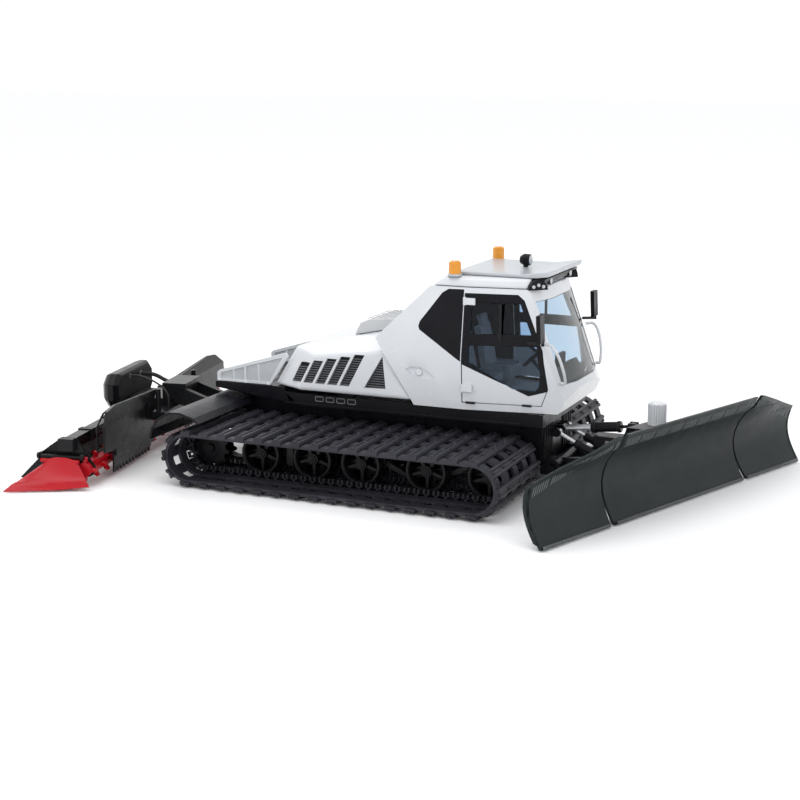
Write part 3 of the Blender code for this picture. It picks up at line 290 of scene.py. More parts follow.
def finished(name, shape, place, finishes, body, edge=0.0, smooth=32.0, segments=2, replaces=()):
    """Turns a shape made in millimetres into a piece in the row frame, on its body and in its finish."""
    bmesh.ops.transform(shape, matrix=place, verts=shape.verts)
    mesh = bpy.data.meshes.new(name)
    shape.to_mesh(mesh)
    shape.free()
    for finish in finishes if isinstance(finishes, (list, tuple)) else [finishes]:
        mesh.materials.append(finish)
    mesh.shade_smooth()
    mesh.set_sharp_from_angle(angle=math.radians(smooth))
    made = bpy.data.objects.new(name, mesh)
    bpy.context.scene.collection.objects.link(made)
    if edge:
        rounded(made, edge, smooth, segments)
    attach(made, body)
    if replaces:
        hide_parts(*replaces)
    return made


def cad_copy(node):
    """A merged copy of a CAD node's mesh in millimetres, with its flat faces whole again."""
    shape = bmesh.new()
    shape.from_mesh(frame["nodes"][node].data)
    bmesh.ops.remove_doubles(shape, verts=shape.verts, dist=2e-6)
    bmesh.ops.dissolve_limit(shape, angle_limit=math.radians(0.8), verts=shape.verts, edges=shape.edges)
    bmesh.ops.scale(shape, vec=(1000, 1000, 1000), verts=shape.verts)
    return shape


row_place = Matrix.Scale(0.001, 4)
bodies = frame["record"]["behaviour"]["bodies"]
body_of_node = {node: body for body, nodes in bodies.items() for node in nodes}


def moulding(node, finish, edge=0.35, smooth=32.0):
    """The node's own form with the rounded edges of a moulded part."""
    body = body_of_node[node]
    return finished(
        f"{node}_moulding", cad_copy(node), row_place, finish, body, edge, smooth, replaces=[node]
    )


def box(shape, low, high):
    """Adds a block between two corners."""
    low, high = Vector(low), Vector(high)
    size = Matrix.Diagonal((*(high - low), 1.0))
    return bmesh.ops.create_cube(shape, size=1.0, matrix=Matrix.Translation((low + high) / 2) @ size)["verts"]


def bar(shape, start, end, radius, sides=20, end_radius=None):
    """Adds a round bar or a cone between two points."""
    start, end = Vector(start), Vector(end)
    turn = (end - start).to_track_quat("Z", "Y").to_matrix().to_4x4()
    return bmesh.ops.create_cone(
        shape,
        cap_ends=True,
        segments=sides,
        radius1=radius,
        radius2=radius if end_radius is None else end_radius,
        depth=(end - start).length,
        matrix=Matrix.Translation((start + end) / 2) @ turn,
    )["verts"]


def slab(shape, outline, low, high, axis="Y"):
    """Adds an outline in the other two axes, pushed out from low to high along the named axis."""
    corners = []
    for a, b in outline:
        place = {"X": (low, a, b), "Y": (a, low, b), "Z": (a, b, low)}[axis]
        corners.append(shape.verts.new(place))
    push = {"X": (high - low, 0, 0), "Y": (0, high - low, 0), "Z": (0, 0, high - low)}[axis]
    face = shape.faces.new(corners)
    swept = bmesh.ops.extrude_face_region(shape, geom=[face])["geom"]
    far = [item for item in swept if isinstance(item, bmesh.types.BMVert)]
    bmesh.ops.translate(shape, vec=push, verts=far)
    bmesh.ops.recalc_face_normals(shape, faces=list({f for v in corners + far for f in v.link_faces}))
    return corners + far


def span(side, near, far):
    """Two distances from the machine's middle, on one side of it, as low and high in Y."""
    return sorted((side * near, side * far))


moulding("hull", body_black, 0.5)
moulding("rear_deck", body_black, 0.5)

hull_trim = bmesh.new()
sill_frames = bmesh.new()
for side in (-1, 1):
    for number in range(4):
        x = 58.0 + 9.4 * number
        low, high = span(side, 54.02, 54.6)
        for z in (59.6, 63.2):
            box(sill_frames, (x, low, z), (x + 7.4, high, z + 0.6))
        for end in (0.0, 6.8):
            box(sill_frames, (x + end, low, 59.6), (x + end + 0.6, high, 63.8))
    low, high = span(side, 54.02, 54.5)
    box(hull_trim, (30, low, 56.4), (230, high, 57.2))
    for rib in range(5):
        y = side * (14 + 4.6 * rib)
        box(hull_trim, (241.8, y - 0.6, 26), (243.2, y + 0.6, 54))
for x in range(-26, 14, 8):
    box(hull_trim, (x, -40, 68.02), (x + 3.2, 40, 68.25))
finished("hull_trim", hull_trim, machine_place, satin_black, "vehicle", 0.12)
rim_grey = moulded_plastic("rim_grey", (0.14, 0.145, 0.15), (0.22, 0.225, 0.23), 0.3, 2200.0, 0.00003)
finished("hull_sill_frames", sill_frames, machine_place, rim_grey, "vehicle")

# ---------------------------------------------------------------- tracks
# Each track is a ladder of five narrow belts under broad cross bars, moulded in one anthracite plastic.
# Every bar has two ridges and five pointed cleats, and square guide teeth run beside the wheels.

SIDES = ((1, "left"), (-1, "right"))
TRACK_REAR_X, TRACK_FRONT_X = -16.0, 220.0
SHOE_PATH_RADIUS = 20.7
GUIDE_YS = (72.6, 99.4)
AXLE_Z = 23.0
BELT_OUTER, BELT_INNER = 19.6, 17.1
SHOE_COUNT = 38
TRACK_INNER_Y, TRACK_WIDTH = 39.0, 94.0
TRACK_DARK, TRACK_PALE = (0.020, 0.020, 0.026), (0.036, 0.036, 0.045)
track_rubber = moulded_plastic("track_rubber", TRACK_DARK, TRACK_PALE, 0.46, 1700.0, 0.00006, shine=0.25)


def loop_line(radius, steps=14):
    """Points of the loop that a belt follows round the sprocket and the idler."""
    line = []
    for centre, first in ((TRACK_REAR_X, 90.0), (TRACK_FRONT_X, -90.0)):
        for step in range(steps + 1):
            angle = math.radians(first + 180.0 * step / steps)
            line.append((centre + radius * math.cos(angle), AXLE_Z + radius * math.sin(angle)))
    return line


def belt(shape, low, high):
    """One closed belt: its outer and inner walls pushed across, then bridged at both edges."""
    rims = []
    for radius in (BELT_OUTER, BELT_INNER):
        points = [shape.verts.new((x, low, z)) for x, z in loop_line(radius)]
        edges = [shape.edges.new((a, b)) for a, b in zip(points, points[1:] + points[:1])]
        swept = bmesh.ops.extrude_edge_only(shape, edges=edges)["geom"]
        far = [item for item in swept if isinstance(item, bmesh.types.BMVert)]
        bmesh.ops.translate(shape, vec=(0, high - low, 0), verts=far)
        swept_edges = [item for item in swept if isinstance(item, bmesh.types.BMEdge)]
        rims.append((edges, [edge for edge in swept_edges if edge.verts[0] in far and edge.verts[1] in far]))
    for outer, inner in zip(*rims):
        bmesh.ops.bridge_loops(shape, edges=outer + inner)


def track_place(shoe):
    """The turn and place of a shoe: X along the belt, Z outwards."""
    length = TRACK_FRONT_X - TRACK_REAR_X
    half_turn = math.pi * SHOE_PATH_RADIUS
    run = (shoe / SHOE_COUNT) * (2 * length + 2 * half_turn)
    if run < half_turn:
        angle = math.pi / 2 + run / SHOE_PATH_RADIUS
        centre = Vector((TRACK_REAR_X, 0, AXLE_Z))
    elif run < half_turn + length:
        angle = 1.5 * math.pi
        centre = Vector((TRACK_REAR_X + run - half_turn, 0, AXLE_Z))
    elif run < 2 * half_turn + length:
        angle = -math.pi / 2 + (run - half_turn - length) / SHOE_PATH_RADIUS
        centre = Vector((TRACK_FRONT_X, 0, AXLE_Z))
    else:
        angle = math.pi / 2
        centre = Vector((TRACK_FRONT_X - (run - 2 * half_turn - length), 0, AXLE_Z))
    return Matrix.Translation(centre) @ Matrix.Rotation(math.pi / 2 - angle, 4, "Y")


def shoe(shape, place, low, high):
    """A cross bar with two ridges, bevelled ends and five pointed cleats."""
    rear_half = [(-4, 18.6), (-4, 20.9), (-3.1, 22.3), (-1.7, 22.3), (-1.1, 21.3)]
    made = slab(shape, rear_half + [(-x, z) for x, z in reversed(rear_half)], low, high)
    for v in made:
        if v.co.z > 21.0 and min(abs(v.co.y - low), abs(v.co.y - high)) < 0.01:
            v.co.y += 1.6 if abs(v.co.y - low) < 0.01 else -1.6
    for y in (low + 3.4, low + 24.5, (low + high) / 2, high - 24.5, high - 3.4):
        made += bar(shape, (0, y, 21.0), (0, y, 23.0), 2.5, 4, 0.5)
    bmesh.ops.transform(shape, matrix=place, verts=made)


def guide(shape, place, y):
    """A fork of two square teeth on the inside of the belts."""
    made = box(shape, (-2.6, y - 1.2, 12.4), (-0.9, y + 1.2, 17.6))
    made += box(shape, (0.9, y - 1.2, 12.4), (2.6, y + 1.2, 17.6))
    made += box(shape, (-2.6, y - 1.2, 16.0), (2.6, y + 1.2, 17.6))
    bmesh.ops.transform(shape, matrix=place, verts=made)


for side, tag in SIDES:
    low, high = span(side, TRACK_INNER_Y, TRACK_INNER_Y + TRACK_WIDTH)
    loop = bmesh.new()
    for centre in (6.5, 26.5, 47.0, 67.5, 87.5):
        y = side * (TRACK_INNER_Y + centre)
        belt(loop, y - 4.6, y + 4.6)
    for number in range(SHOE_COUNT):
        shoe(loop, track_place(number), low, high)
    for number in range(2 * SHOE_COUNT):
        for y in GUIDE_YS:
            guide(loop, track_place(number / 2), side * y)
    bmesh.ops.recalc_face_normals(loop, faces=loop.faces)
    name, node = f"track_links_{tag}", f"track_{tag}"
    finished(name, loop, machine_place, track_rubber, "vehicle", 0.18, 30.0, 1, [node])

# ---------------------------------------------------------------- wheels
# Five-spoked plastic wheels with a thick rim and a small hub run between the guide teeth.
# The sprocket at the rear has teeth; the idler in front is a wheel of the same mould.

WHEEL_MIDDLE_Y = 86.0
WHEEL_XS = (30.0, 75.0, 116.0, 170.0)
wheel_black = moulded_plastic("wheel_black", (0.004, 0.004, 0.005), (0.008, 0.008, 0.010), 0.3, shine=0.2)


def ring(shape, x, y, profile, steps=48):
    """Adds a turned ring: a profile of radius and offset along Y, spun round the wheel's axle."""
    loop = [shape.verts.new((x + radius, y + offset, AXLE_Z)) for radius, offset in profile]
    edges = [shape.edges.new((a, b)) for a, b in zip(loop, loop[1:] + loop[:1])]
    turn = {"cent": (x, y, AXLE_Z), "axis": (0, 1, 0), "angle": 2 * math.pi}
    bmesh.ops.spin(shape, geom=loop + edges, steps=steps, use_merge=True, **turn)


def wheel(shape, x, side):
    """A rim, five tapered spokes and a capped hub."""
    y = side * WHEEL_MIDDLE_Y
    tread = [(16.0, -10), (16.4, -9.4), (16.4, -1.2), (15.6, -0.6), (15.6, 0.6), (16.4, 1.2), (16.4, 9.4)]
    rim = [(13.2, -10), *tread, (16.0, 10), (14.2, 10), (13.2, 8.6)]
    ring(shape, x, y, [(r, side * o) for r, o in rim])
    for spoke in range(5):
        made = box(shape, (3.2, -1.4, -1.5), (13.8, 6.2, 1.5))
        for v in made:
            if v.co.x > 10:
                v.co.z *= 0.75
        turn = Matrix.Rotation(math.radians(90 + 72 * spoke), 4, "Y")
        flip = Matrix.Diagonal((1, side, 1, 1))
        bmesh.ops.transform(shape, matrix=Matrix.Translation((x, y, AXLE_Z)) @ turn @ flip, verts=made)
        web = box(shape, (6.0, -1.4, -4.2), (13.8, -0.4, 4.2))
        bmesh.ops.transform(shape, matrix=Matrix.Translation((x, y, AXLE_Z)) @ turn @ flip, verts=web)
    bar(shape, (x, y - side * 4, AXLE_Z), (x, y + side * 8.4, AXLE_Z), 4.4, 28)
    bar(shape, (x, y + side * 8.4, AXLE_Z), (x, y + side * 9.2, AXLE_Z), 3.4, 28, 2.8)
    bar(shape, (x, y + side * 9.2, AXLE_Z), (x, y + side * 9.9, AXLE_Z), 1.5, 12, 1.2)


def turned(node, shape):
    """Finishes a shape of wheels and axles in place of its node."""
    bmesh.ops.recalc_face_normals(shape, faces=shape.faces)
    name = f"{node}_turned"
    finished(name, shape, machine_place, wheel_black, "vehicle", 0.25, 30.0, 1, [node])


for side, tag in SIDES:
    rollers = bmesh.new()
    for x in WHEEL_XS:
        wheel(rollers, x, side)
    beam = span(side, 42, 48)
    box(rollers, (21, beam[0], 19), (179, beam[1], 27))
    for x in WHEEL_XS:
        bar(rollers, (x, side * 44, AXLE_Z), (x, side * 84, AXLE_Z), 3.0, 16)
    # the sprung strut between the first wheels, and the rocker ahead of the last
    for step in range(6):
        low, high = span(side, 77 + step * 2.2, 78.2 + step * 2.2)
        box(rollers, (49.5, low, 15), (55.5, high, 33))
    low, high = span(side, 77, 89)
    box(rollers, (50.8, low, 14), (54.2, high, 34))
    slab(rollers, [(180, 20), (199, 29), (201, 26), (183, 17)], side * 80, side * 86)
    slab(rollers, [(134, 26), (152, 17), (151, 14), (132, 22)], side * 80, side * 86)
    turned(f"road_wheels_{tag}", rollers)

    front = bmesh.new()
    wheel(front, TRACK_FRONT_X, side)
    bar(front, (TRACK_FRONT_X, side * 37, AXLE_Z), (TRACK_FRONT_X, side * 84, AXLE_Z), 3.6, 20)
    turned(f"idler_{tag}", front)

    rear = bmesh.new()
    for offset in (-6.5, 5.0):
        outline = []
        for tooth in range(12):
            for part, radius in ((0.0, 13.2), (0.42, 13.2), (0.6, 16.2), (0.84, 16.2)):
                angle = 2 * math.pi * (tooth + part) / 12
                outline.append((TRACK_REAR_X + radius * math.cos(angle), AXLE_Z + radius * math.sin(angle)))
        y = side * WHEEL_MIDDLE_Y + offset
        slab(rear, outline, y, y + 2.4)
    bar(rear, (TRACK_REAR_X, side * 37, AXLE_Z), (TRACK_REAR_X, side * 95.4, AXLE_Z), 3.6, 24)
    bar(rear, (TRACK_REAR_X, side * 78, AXLE_Z), (TRACK_REAR_X, side * 93, AXLE_Z), 7.5, 30)
    turned(f"sprocket_{tag}", rear)

# ---------------------------------------------------------------- track guards and load rack
# The guards are thin curved mudguards with a lip at each edge, hung from the hull.
# The rack has white plastic rails and posts, with pale grey panels clipped between them.

for tag in ("left", "right"):
    moulding(f"track_guard_{tag}", body_black, 0.3, 24.0)

RACK_Y, DECK_Z, PANEL_FOOT_Z = 47.25, 68.3, 69.8
WHITE_SHADE, WHITE_LIGHT = (0.60, 0.62, 0.655), (0.67, 0.69, 0.715)
body_white = moulded_plastic("body_white", WHITE_SHADE, WHITE_LIGHT, 0.2, 3200.0, 0.00002, coat=0.3)
panel_grey = moulded_plastic("panel_grey", (0.42, 0.44, 0.46), (0.52, 0.54, 0.56), 0.3)
for side, tag in SIDES:
    moulding(f"load_rack_{tag}", body_white, 0.55)
    rack = bmesh.new()
    low, high = span(side, 46.9, 47.6)
    slab(rack, [(-31.5, PANEL_FOOT_Z), (-8.6, PANEL_FOOT_Z), (-8.6, 81.4), (-30.4, 75.4)], low, high)
    slab(rack, [(-7.4, PANEL_FOOT_Z), (13.9, PANEL_FOOT_Z), (26.6, 91.6), (-7.4, 82.0)], low, high)
    finished(f"rack_panels_{tag}", rack, machine_place, panel_grey, "vehicle")
    posts = bmesh.new()
    for x, top in ((-19, 78.4), (4, 84.6)):
        bar(posts, (x, side * RACK_Y, 69.4), (x, side * RACK_Y, top), 1.15, 16)
    for x in (-32, -8, 13):
        bar(posts, (x, side * RACK_Y, DECK_Z), (x, side * RACK_Y, DECK_Z + 2.3), 2.1, 16, 1.6)
    finished(f"rack_posts_{tag}", posts, machine_place, body_white, "vehicle", 0.2)

# ---------------------------------------------------------------- engine hood
# A white crowned hood with soft shoulders. Each flank has five slanted louvres and a triangular one,
# cut in and filled with fine grey slats over black, and a step plate with raised bars sits on the crown.


def rounded_form(node, edge, segments):
    """The convex outer form of a CAD node, with all its edges rounded."""
    shape = cad_copy(node)
    bmesh.ops.convex_hull(shape, input=shape.verts)
    loose = [v for v in shape.verts if not v.link_faces]
    bmesh.ops.delete(shape, geom=loose, context="VERTS")
    bmesh.ops.remove_doubles(shape, verts=shape.verts, dist=0.05)
    bmesh.ops.dissolve_limit(shape, angle_limit=math.radians(2.0), verts=shape.verts, edges=shape.edges)
    bmesh.ops.recalc_face_normals(shape, faces=shape.faces)
    bmesh.ops.bevel(
        shape,
        geom=[e for e in shape.edges if e.calc_face_angle(0) > math.radians(4)],
        offset=edge,
        offset_type="OFFSET",
        affect="EDGES",
        segments=segments,
        profile=0.5,
        clamp_overlap=True,
        material=-1,
    )
    return shape


def carve(target, shape, place, name):
    """Cuts a closed shape out of a finished piece."""
    bmesh.ops.recalc_face_normals(shape, faces=shape.faces)
    bmesh.ops.transform(shape, matrix=place, verts=shape.verts)
    mesh = bpy.data.meshes.new(name)
    shape.to_mesh(mesh)
    shape.free()
    cutter = bpy.data.objects.new(name, mesh)
    bpy.context.scene.collection.objects.link(cutter)
    step = target.modifiers.new(name, "BOOLEAN")
    step.operation = "DIFFERENCE"
    step.solver = "EXACT"
    step.object = cutter
    bpy.context.view_layer.update()
    graph = bpy.context.evaluated_depsgraph_get()
    carved = bpy.data.meshes.new_from_object(target.evaluated_get(graph))
    target.modifiers.clear()
    target.data = carved
    bpy.data.objects.remove(cutter)
    carved.shade_smooth()
    carved.set_sharp_from_angle(angle=math.radians(32))


hood = finished(
    "engine_hood_shell",
    rounded_form("engine_hood", 1.0, 2),
    row_place,
    body_white,
    "vehicle",
    replaces=["engine_hood"],
)
even = hood.modifiers.new("even", "REMESH")
even.mode = "VOXEL"
even.voxel_size = 0.0011
soft = hood.modifiers.new("soft", "SMOOTH")
soft.factor = 0.8
soft.iterations = 14
LOUVRE_MOUTH_Y, LOUVRE_BACK_Y = 70.0, 55.1
SLAT_BACK_Y, SLAT_FRONT_Y = 55.3, 56.5
LOUVRE_FOOT_Z, LOUVRE_LEAN = 75.0, 0.52
LOUVRE_WIDTH, LOUVRE_PITCH, LOUVRE_STEP_UP = 8.4, 10.6, 2.4
TRIANGLE = [(102.5, 75.0), (121.0, 75.5), (118.0, 101.0)]
slat_grey = moulded_plastic("slat_grey", (0.085, 0.09, 0.10), (0.13, 0.14, 0.15), 0.4, 2000.0, 0.00003)
louvres = bmesh.new()
slats = bmesh.new()
backs = bmesh.new()
for side in (-1, 1):
    mouth = span(side, LOUVRE_BACK_Y, LOUVRE_MOUTH_Y)
    back = span(side, LOUVRE_BACK_Y + 0.05, LOUVRE_BACK_Y + 0.25)
    inner_y, outer_y = span(side, SLAT_BACK_Y, SLAT_FRONT_Y)
    for slot in range(5):
        foot = 38.6 + slot * LOUVRE_PITCH
        top = 91.0 + slot * LOUVRE_STEP_UP
        lean = LOUVRE_LEAN * (top - LOUVRE_FOOT_Z)
        low_edge = [(foot, LOUVRE_FOOT_Z), (foot + LOUVRE_WIDTH, LOUVRE_FOOT_Z)]
        outline = [*low_edge, (foot + LOUVRE_WIDTH + lean, top), (foot + lean, top)]
        slab(louvres, outline, *mouth)
        slab(backs, outline, *back)
        for line in range(int((top - 76) / 1.9)):
            z = 75.7 + 1.9 * line
            start = foot + LOUVRE_LEAN * (z - LOUVRE_FOOT_Z)
            box(slats, (start + 0.2, inner_y, z), (start + LOUVRE_WIDTH - 0.2, outer_y, z + 0.7))
    slab(louvres, TRIANGLE, *mouth)
    slab(backs, TRIANGLE, *back)
    for line in range(12):
        z = 76.2 + 1.95 * line
        reach = (z - 75.0) / 26.0
        box(slats, (103.2 + 15.5 * reach, inner_y, z), (120.8 - 2.8 * reach, outer_y, z + 0.8))
carve(hood, louvres, machine_place, "louvre_cutter")
finished("hood_louvre_backs", backs, machine_place, body_black, "vehicle")
finished("hood_louvre_slats", slats, machine_place, slat_grey, "vehicle")

step_grey = moulded_plastic("step_grey", (0.46, 0.47, 0.48), (0.58, 0.59, 0.60), 0.45, 1400.0, 0.00008)
moulding("hood_step", step_grey, 1.0)
studs = bmesh.new()
for row in range(5):
    for column in range(9):
        x = 89.5 + row * 5.2
        y = -21.6 + column * 5.4
        z = 123.5 + (x - 92) * 0.08 - 0.1
        made = box(studs, (-1.7, -0.35, 0), (1.7, 0.35, 0.55))
        turn = Matrix.Rotation(math.radians(45 if (row + column) % 2 else -45), 4, "Z")
        bmesh.ops.transform(studs, matrix=Matrix.Translation((x, y, z)) @ turn, verts=made)
finished("hood_step_studs", studs, machine_place, step_grey, "vehicle")

# ---------------------------------------------------------------- cab
# The cab is a hollow white plastic shell. Its rear quarter and the upper door frames are black.
# The doors hang on two white hinges each. The panes are clear plastic, tinted blue in the doors.


def clear_plastic(name, low, high):
    """Clear moulded plastic with a faint drift of tint and gloss."""
    made = bpy.data.materials.new(name)
    made.use_nodes = True
    nodes, links = made.node_tree.nodes, made.node_tree.links
    shader = nodes["Principled BSDF"]
    shader.inputs["Transmission Weight"].default_value = 1.0
    shader.inputs["IOR"].default_value = 1.25
    place = nodes.new("ShaderNodeTexCoord")
    drift = nodes.new("ShaderNodeTexNoise")
    drift.inputs["Scale"].default_value = 12.0
    tint = nodes.new("ShaderNodeValToRGB")
    tint.color_ramp.elements[0].color = (*low, 1)
    tint.color_ramp.elements[1].color = (*high, 1)
    gloss = nodes.new("ShaderNodeMapRange")
    gloss.inputs["To Min"].default_value = 0.005
    gloss.inputs["To Max"].default_value = 0.03
    links.new(place.outputs["Object"], drift.inputs["Vector"])
    links.new(drift.outputs["Fac"], tint.inputs["Fac"])
    links.new(drift.outputs["Fac"], gloss.inputs["Value"])
    links.new(tint.outputs["Color"], shader.inputs["Base Color"])
    links.new(gloss.outputs["Result"], shader.inputs["Roughness"])
    return made


blue_glass = clear_plastic("blue_glass", (0.43, 0.55, 0.69), (0.49, 0.61, 0.74))
clear_glass = clear_plastic("clear_glass", (0.84, 0.89, 0.90), (0.88, 0.92, 0.93))


def parted(shape, lines, y_from):
    """Cuts faces along lines in X and Z on the flank beyond y_from, so that a colour can change there."""
    for (ax, az), (bx, bz) in lines:
        normal = Vector((bz - az, 0, ax - bx)).normalized()
        flank = [f for f in shape.faces if abs(f.calc_center_median().y) > y_from]
        parts = list({g for f in flank for g in (*f.verts, *f.edges)}) + flank
        bmesh.ops.bisect_plane(shape, geom=parts, plane_co=(ax, 0, az), plane_no=normal, dist=1e-4)


def inside_outline(x, z, outline):
    """True if a point lies in a convex outline."""
    sides = zip(outline, outline[1:] + outline[:1])
    turns = [(bx - ax) * (z - az) - (bz - az) * (x - ax) for (ax, az), (bx, bz) in sides]
    return all(t > 0 for t in turns) or all(t < 0 for t in turns)


QUARTER_REAR = [(149.2, 124.4), (148.2, 127.0), (149.2, 130.6)]
QUARTER = [*QUARTER_REAR, (166.2, 153.2), (171.4, 156.4), (183.9, 156.6), (183.9, 102.3)]
WAIST = [((182.5, 101.6), (235.7, 78.2)), ((235.7, 78.2), (262.0, 85.9))]
WAIST_REAR_SLOPE, WAIST_FRONT_SLOPE = 0.4398, 0.293
QUARTER_MIN_Y, WAIST_MIN_Y = 44.0, 30.0
SILL_SLOT_LENGTH = 7.5
FRONT_TAPER_X, FRONT_TAPER = 186, 0.15
shell = cad_copy("cab_shell")
bmesh.ops.transform(shell, matrix=machine_place.inverted() @ row_place, verts=shell.verts)
parted(shell, list(zip(QUARTER, QUARTER[1:] + QUARTER[:1])), QUARTER_MIN_Y)
for f in shell.faces:
    place = f.calc_center_median()
    outside = abs(f.normal.y) > 0.8 and f.normal.y * place.y > 0
    inner_wall = f.normal.y * place.y < 0 and abs(f.normal.y) > 0.5
    inner_end = f.normal.x * (place.x - 205) < 0 and abs(f.normal.x) > 0.5 and place.x > 150
    ceiling = f.normal.z < -0.5 and place.z > 140
    if inner_wall or inner_end or ceiling or (outside and inside_outline(place.x, place.z, QUARTER)):
        f.material_index = 1
shell_made = finished(
    "cab_shell_moulding", shell, machine_place, [body_white, body_black], "vehicle", 0.0,
    25.0, 3, ["cab_shell"],
)

recess = bmesh.new()
sill_slots = bmesh.new()
for side in (-1, 1):
    almond = [(139.0, 93.4), (143.5, 95.6), (150.0, 95.8), (157.0, 93.0)]
    almond += [(162.5, 88.2), (156.5, 86.4), (149.0, 86.6), (143.0, 89.2)]
    low, high = span(side, 59.55, 63)
    slab(recess, almond, low, high)
    for x in (188.0, 231.0):
        taper = FRONT_TAPER * max(0.0, x - FRONT_TAPER_X)
        low, high = span(side, 60.2 - taper, 59.6 - taper)
        box(sill_slots, (x, low, 70.2), (x + SILL_SLOT_LENGTH, high, 71.8))
carve(shell_made, recess, machine_place, "recess_cutter")
rounded(shell_made, 1.1, 25.0, 3)
finished("cab_sill_slots", sill_slots, machine_place, satin_black, "vehicle")
boss = bmesh.new()
for side in (-1, 1):
    bar(boss, (149.5, side * 59.3, 91.4), (149.5, side * 60.9, 91.4), 3.4, 28, 2.4)
finished("cab_recess_boss", boss, machine_place, body_white, "vehicle", 0.4, 30.0)


def door_flank(side, x, z):
    """Where a door's outer face lies in Y: it leans in above the belt, below it and to the front."""
    lean = 0.15 * max(0.0, z - 105) + 0.063 * max(0.0, 105 - z)
    return side * (61.5 - lean - FRONT_TAPER * max(0.0, x - FRONT_TAPER_X))


for side, tag in SIDES:
    leaf = cad_copy(f"door_{tag}")
    bmesh.ops.transform(leaf, matrix=machine_place.inverted() @ row_place, verts=leaf.verts)
    parted(leaf, WAIST, WAIST_MIN_Y)
    for f in leaf.faces:
        x, y, z = f.calc_center_median()
        rear, middle = WAIST[0]
        if x < middle[0]:
            waist = rear[1] - (x - rear[0]) * WAIST_REAR_SLOPE
        else:
            waist = middle[1] + (x - middle[0]) * WAIST_FRONT_SLOPE
        f.material_index = 1 if z > waist else 0
    finished(
        f"door_{tag}_moulding", leaf, machine_place, [body_white, body_black], f"door_{tag}",
        0.5, 25.0, 2, [f"door_{tag}"],
    )
    moulding(f"door_glass_{tag}", blue_glass, 0.15)
    furniture = bmesh.new()
    for z in (82.0, 148.0):
        y = door_flank(side, 186, z)
        low, high = sorted((y - side * 0.4, y + side * 1.5))
        box(furniture, (184.9, low, z - 2.6), (193.5, high, z + 2.6))
        bar(furniture, (184.9, y + side * 0.6, z - 3.2), (184.9, y + side * 0.6, z + 3.2), 1.25, 14)
    finished(
        f"door_hinges_{tag}", furniture, machine_place, body_white, f"door_{tag}", 0.35, 30.0
    )
    catch = bmesh.new()
    y = door_flank(side, 236, 112)
    low, high = sorted((y - side * 0.2, y + side * 1.6))
    box(catch, (234.5, low, 117.6), (243.5, high, 120.4))
    y = door_flank(side, 213, 119)
    low, high = sorted((y - side * 1.4, y + side * 0.35))
    box(catch, (212.2, low, 118.6), (214.2, high, 147.0))
    finished(
        f"door_catch_{tag}", catch, machine_place, satin_black, f"door_{tag}", 0.3, 30.0
    )
for node in ("windscreen", "rear_window"):
    moulding(node, clear_glass, 0.15)
roof = rounded_form("cab_roof", 2.6, 4)
finished("cab_roof_shell", roof, row_place, body_white, "vehicle", replaces=["cab_roof"])

# ---------------------------------------------------------------- cab interior
# Two grey bucket seats, a dashboard with a screen and a steering wheel on its column, on the black floor.

SEAT_Y = 22
seat_grey = moulded_plastic("seat_grey", (0.28, 0.29, 0.31), (0.38, 0.39, 0.41), 0.6, 1500.0, 0.0001)
for side, tag in SIDES:
    y = side * SEAT_Y
    seat = bmesh.new()
    box(seat, (178, y - 10, 68.8), (196, y + 10, 77))
    box(seat, (176, y - 13, 77), (200, y + 13, 86.4))
    slab(seat, [(174, 83), (180, 83), (173, 118), (167.5, 117)], y - 12, y + 12)
    slab(seat, [(170.5, 116), (174.5, 117), (171.8, 126.5), (167.2, 125.6)], y - 7, y + 7)
    for edge in (-13, 10.6):
        box(seat, (178, y + edge, 85), (199, y + edge + 2.4, 88.4))
    bmesh.ops.recalc_face_normals(seat, faces=seat.faces)
    finished(
        f"seat_{tag}_moulding", seat, machine_place, seat_grey, "vehicle", 1.5, 30.0, 3,
        [f"seat_{tag}"],
    )
dash = bmesh.new()
slab(dash, [(236, 68.7), (250, 68.7), (254, 82.6), (246, 94.6), (238, 90.6)], -34, 34)
box(dash, (238, 2, 88), (241.5, 20, 101))
finished(
    "dashboard_moulding", dash, machine_place, satin_black, "vehicle", 0.8, 30.0, 2,
    ["dashboard"],
)
steering = bmesh.new()
tilt = Matrix.Translation((227.5, -SEAT_Y, 101.0)) @ Matrix.Rotation(math.radians(-45), 4, "Y")
rim = [(8.4 + 0.75 * math.cos(a), 0.75 * math.sin(a)) for a in (math.radians(45 * k) for k in range(8))]
loop = [steering.verts.new((r, 0, h)) for r, h in rim]
edges = [steering.edges.new((a, b)) for a, b in zip(loop, loop[1:] + loop[:1])]
round_column = {"cent": (0, 0, 0), "axis": (0, 0, 1), "angle": 2 * math.pi}
bmesh.ops.spin(steering, geom=loop + edges, steps=32, use_merge=True, **round_column)
bar(steering, (0, 0, -1.2), (0, 0, 1.0), 2.2, 16)
for spoke in range(3):
    made = box(steering, (1.5, -0.8, -0.4), (8.2, 0.8, 0.4))
    third = Matrix.Rotation(math.radians(120 * spoke), 3, "Z")
    bmesh.ops.rotate(steering, verts=made, cent=(0, 0, 0), matrix=third)
bar(steering, (0, 0, -17.0), (0, 0, -1), 1.5, 14)
bmesh.ops.recalc_face_normals(steering, faces=steering.faces)
finished("steering_wheel", steering, machine_place @ tilt, satin_black, "vehicle")

# ---------------------------------------------------------------- roof
# A silver wing with a lip, lamps in black under the lip and a searchlight on top, all moulded plastic.
# Two ribbed amber beacons stand on silver feet. The lenses are clear or amber plastic, finely ribbed.

SEARCH_Z, VISOR_LAMP_Y, VISOR_LAMP_Z = 174.3, 24, 162.6
BEACON_X, BEACON_Y, BEACON_FINS = 174, 48.3, 16
roof_silver = moulded_plastic(
    "roof_silver", (0.40, 0.43, 0.46), (0.48, 0.50, 0.53), 0.34, 2600.0, 0.000008, coat=0.3, metallic=0.2
)


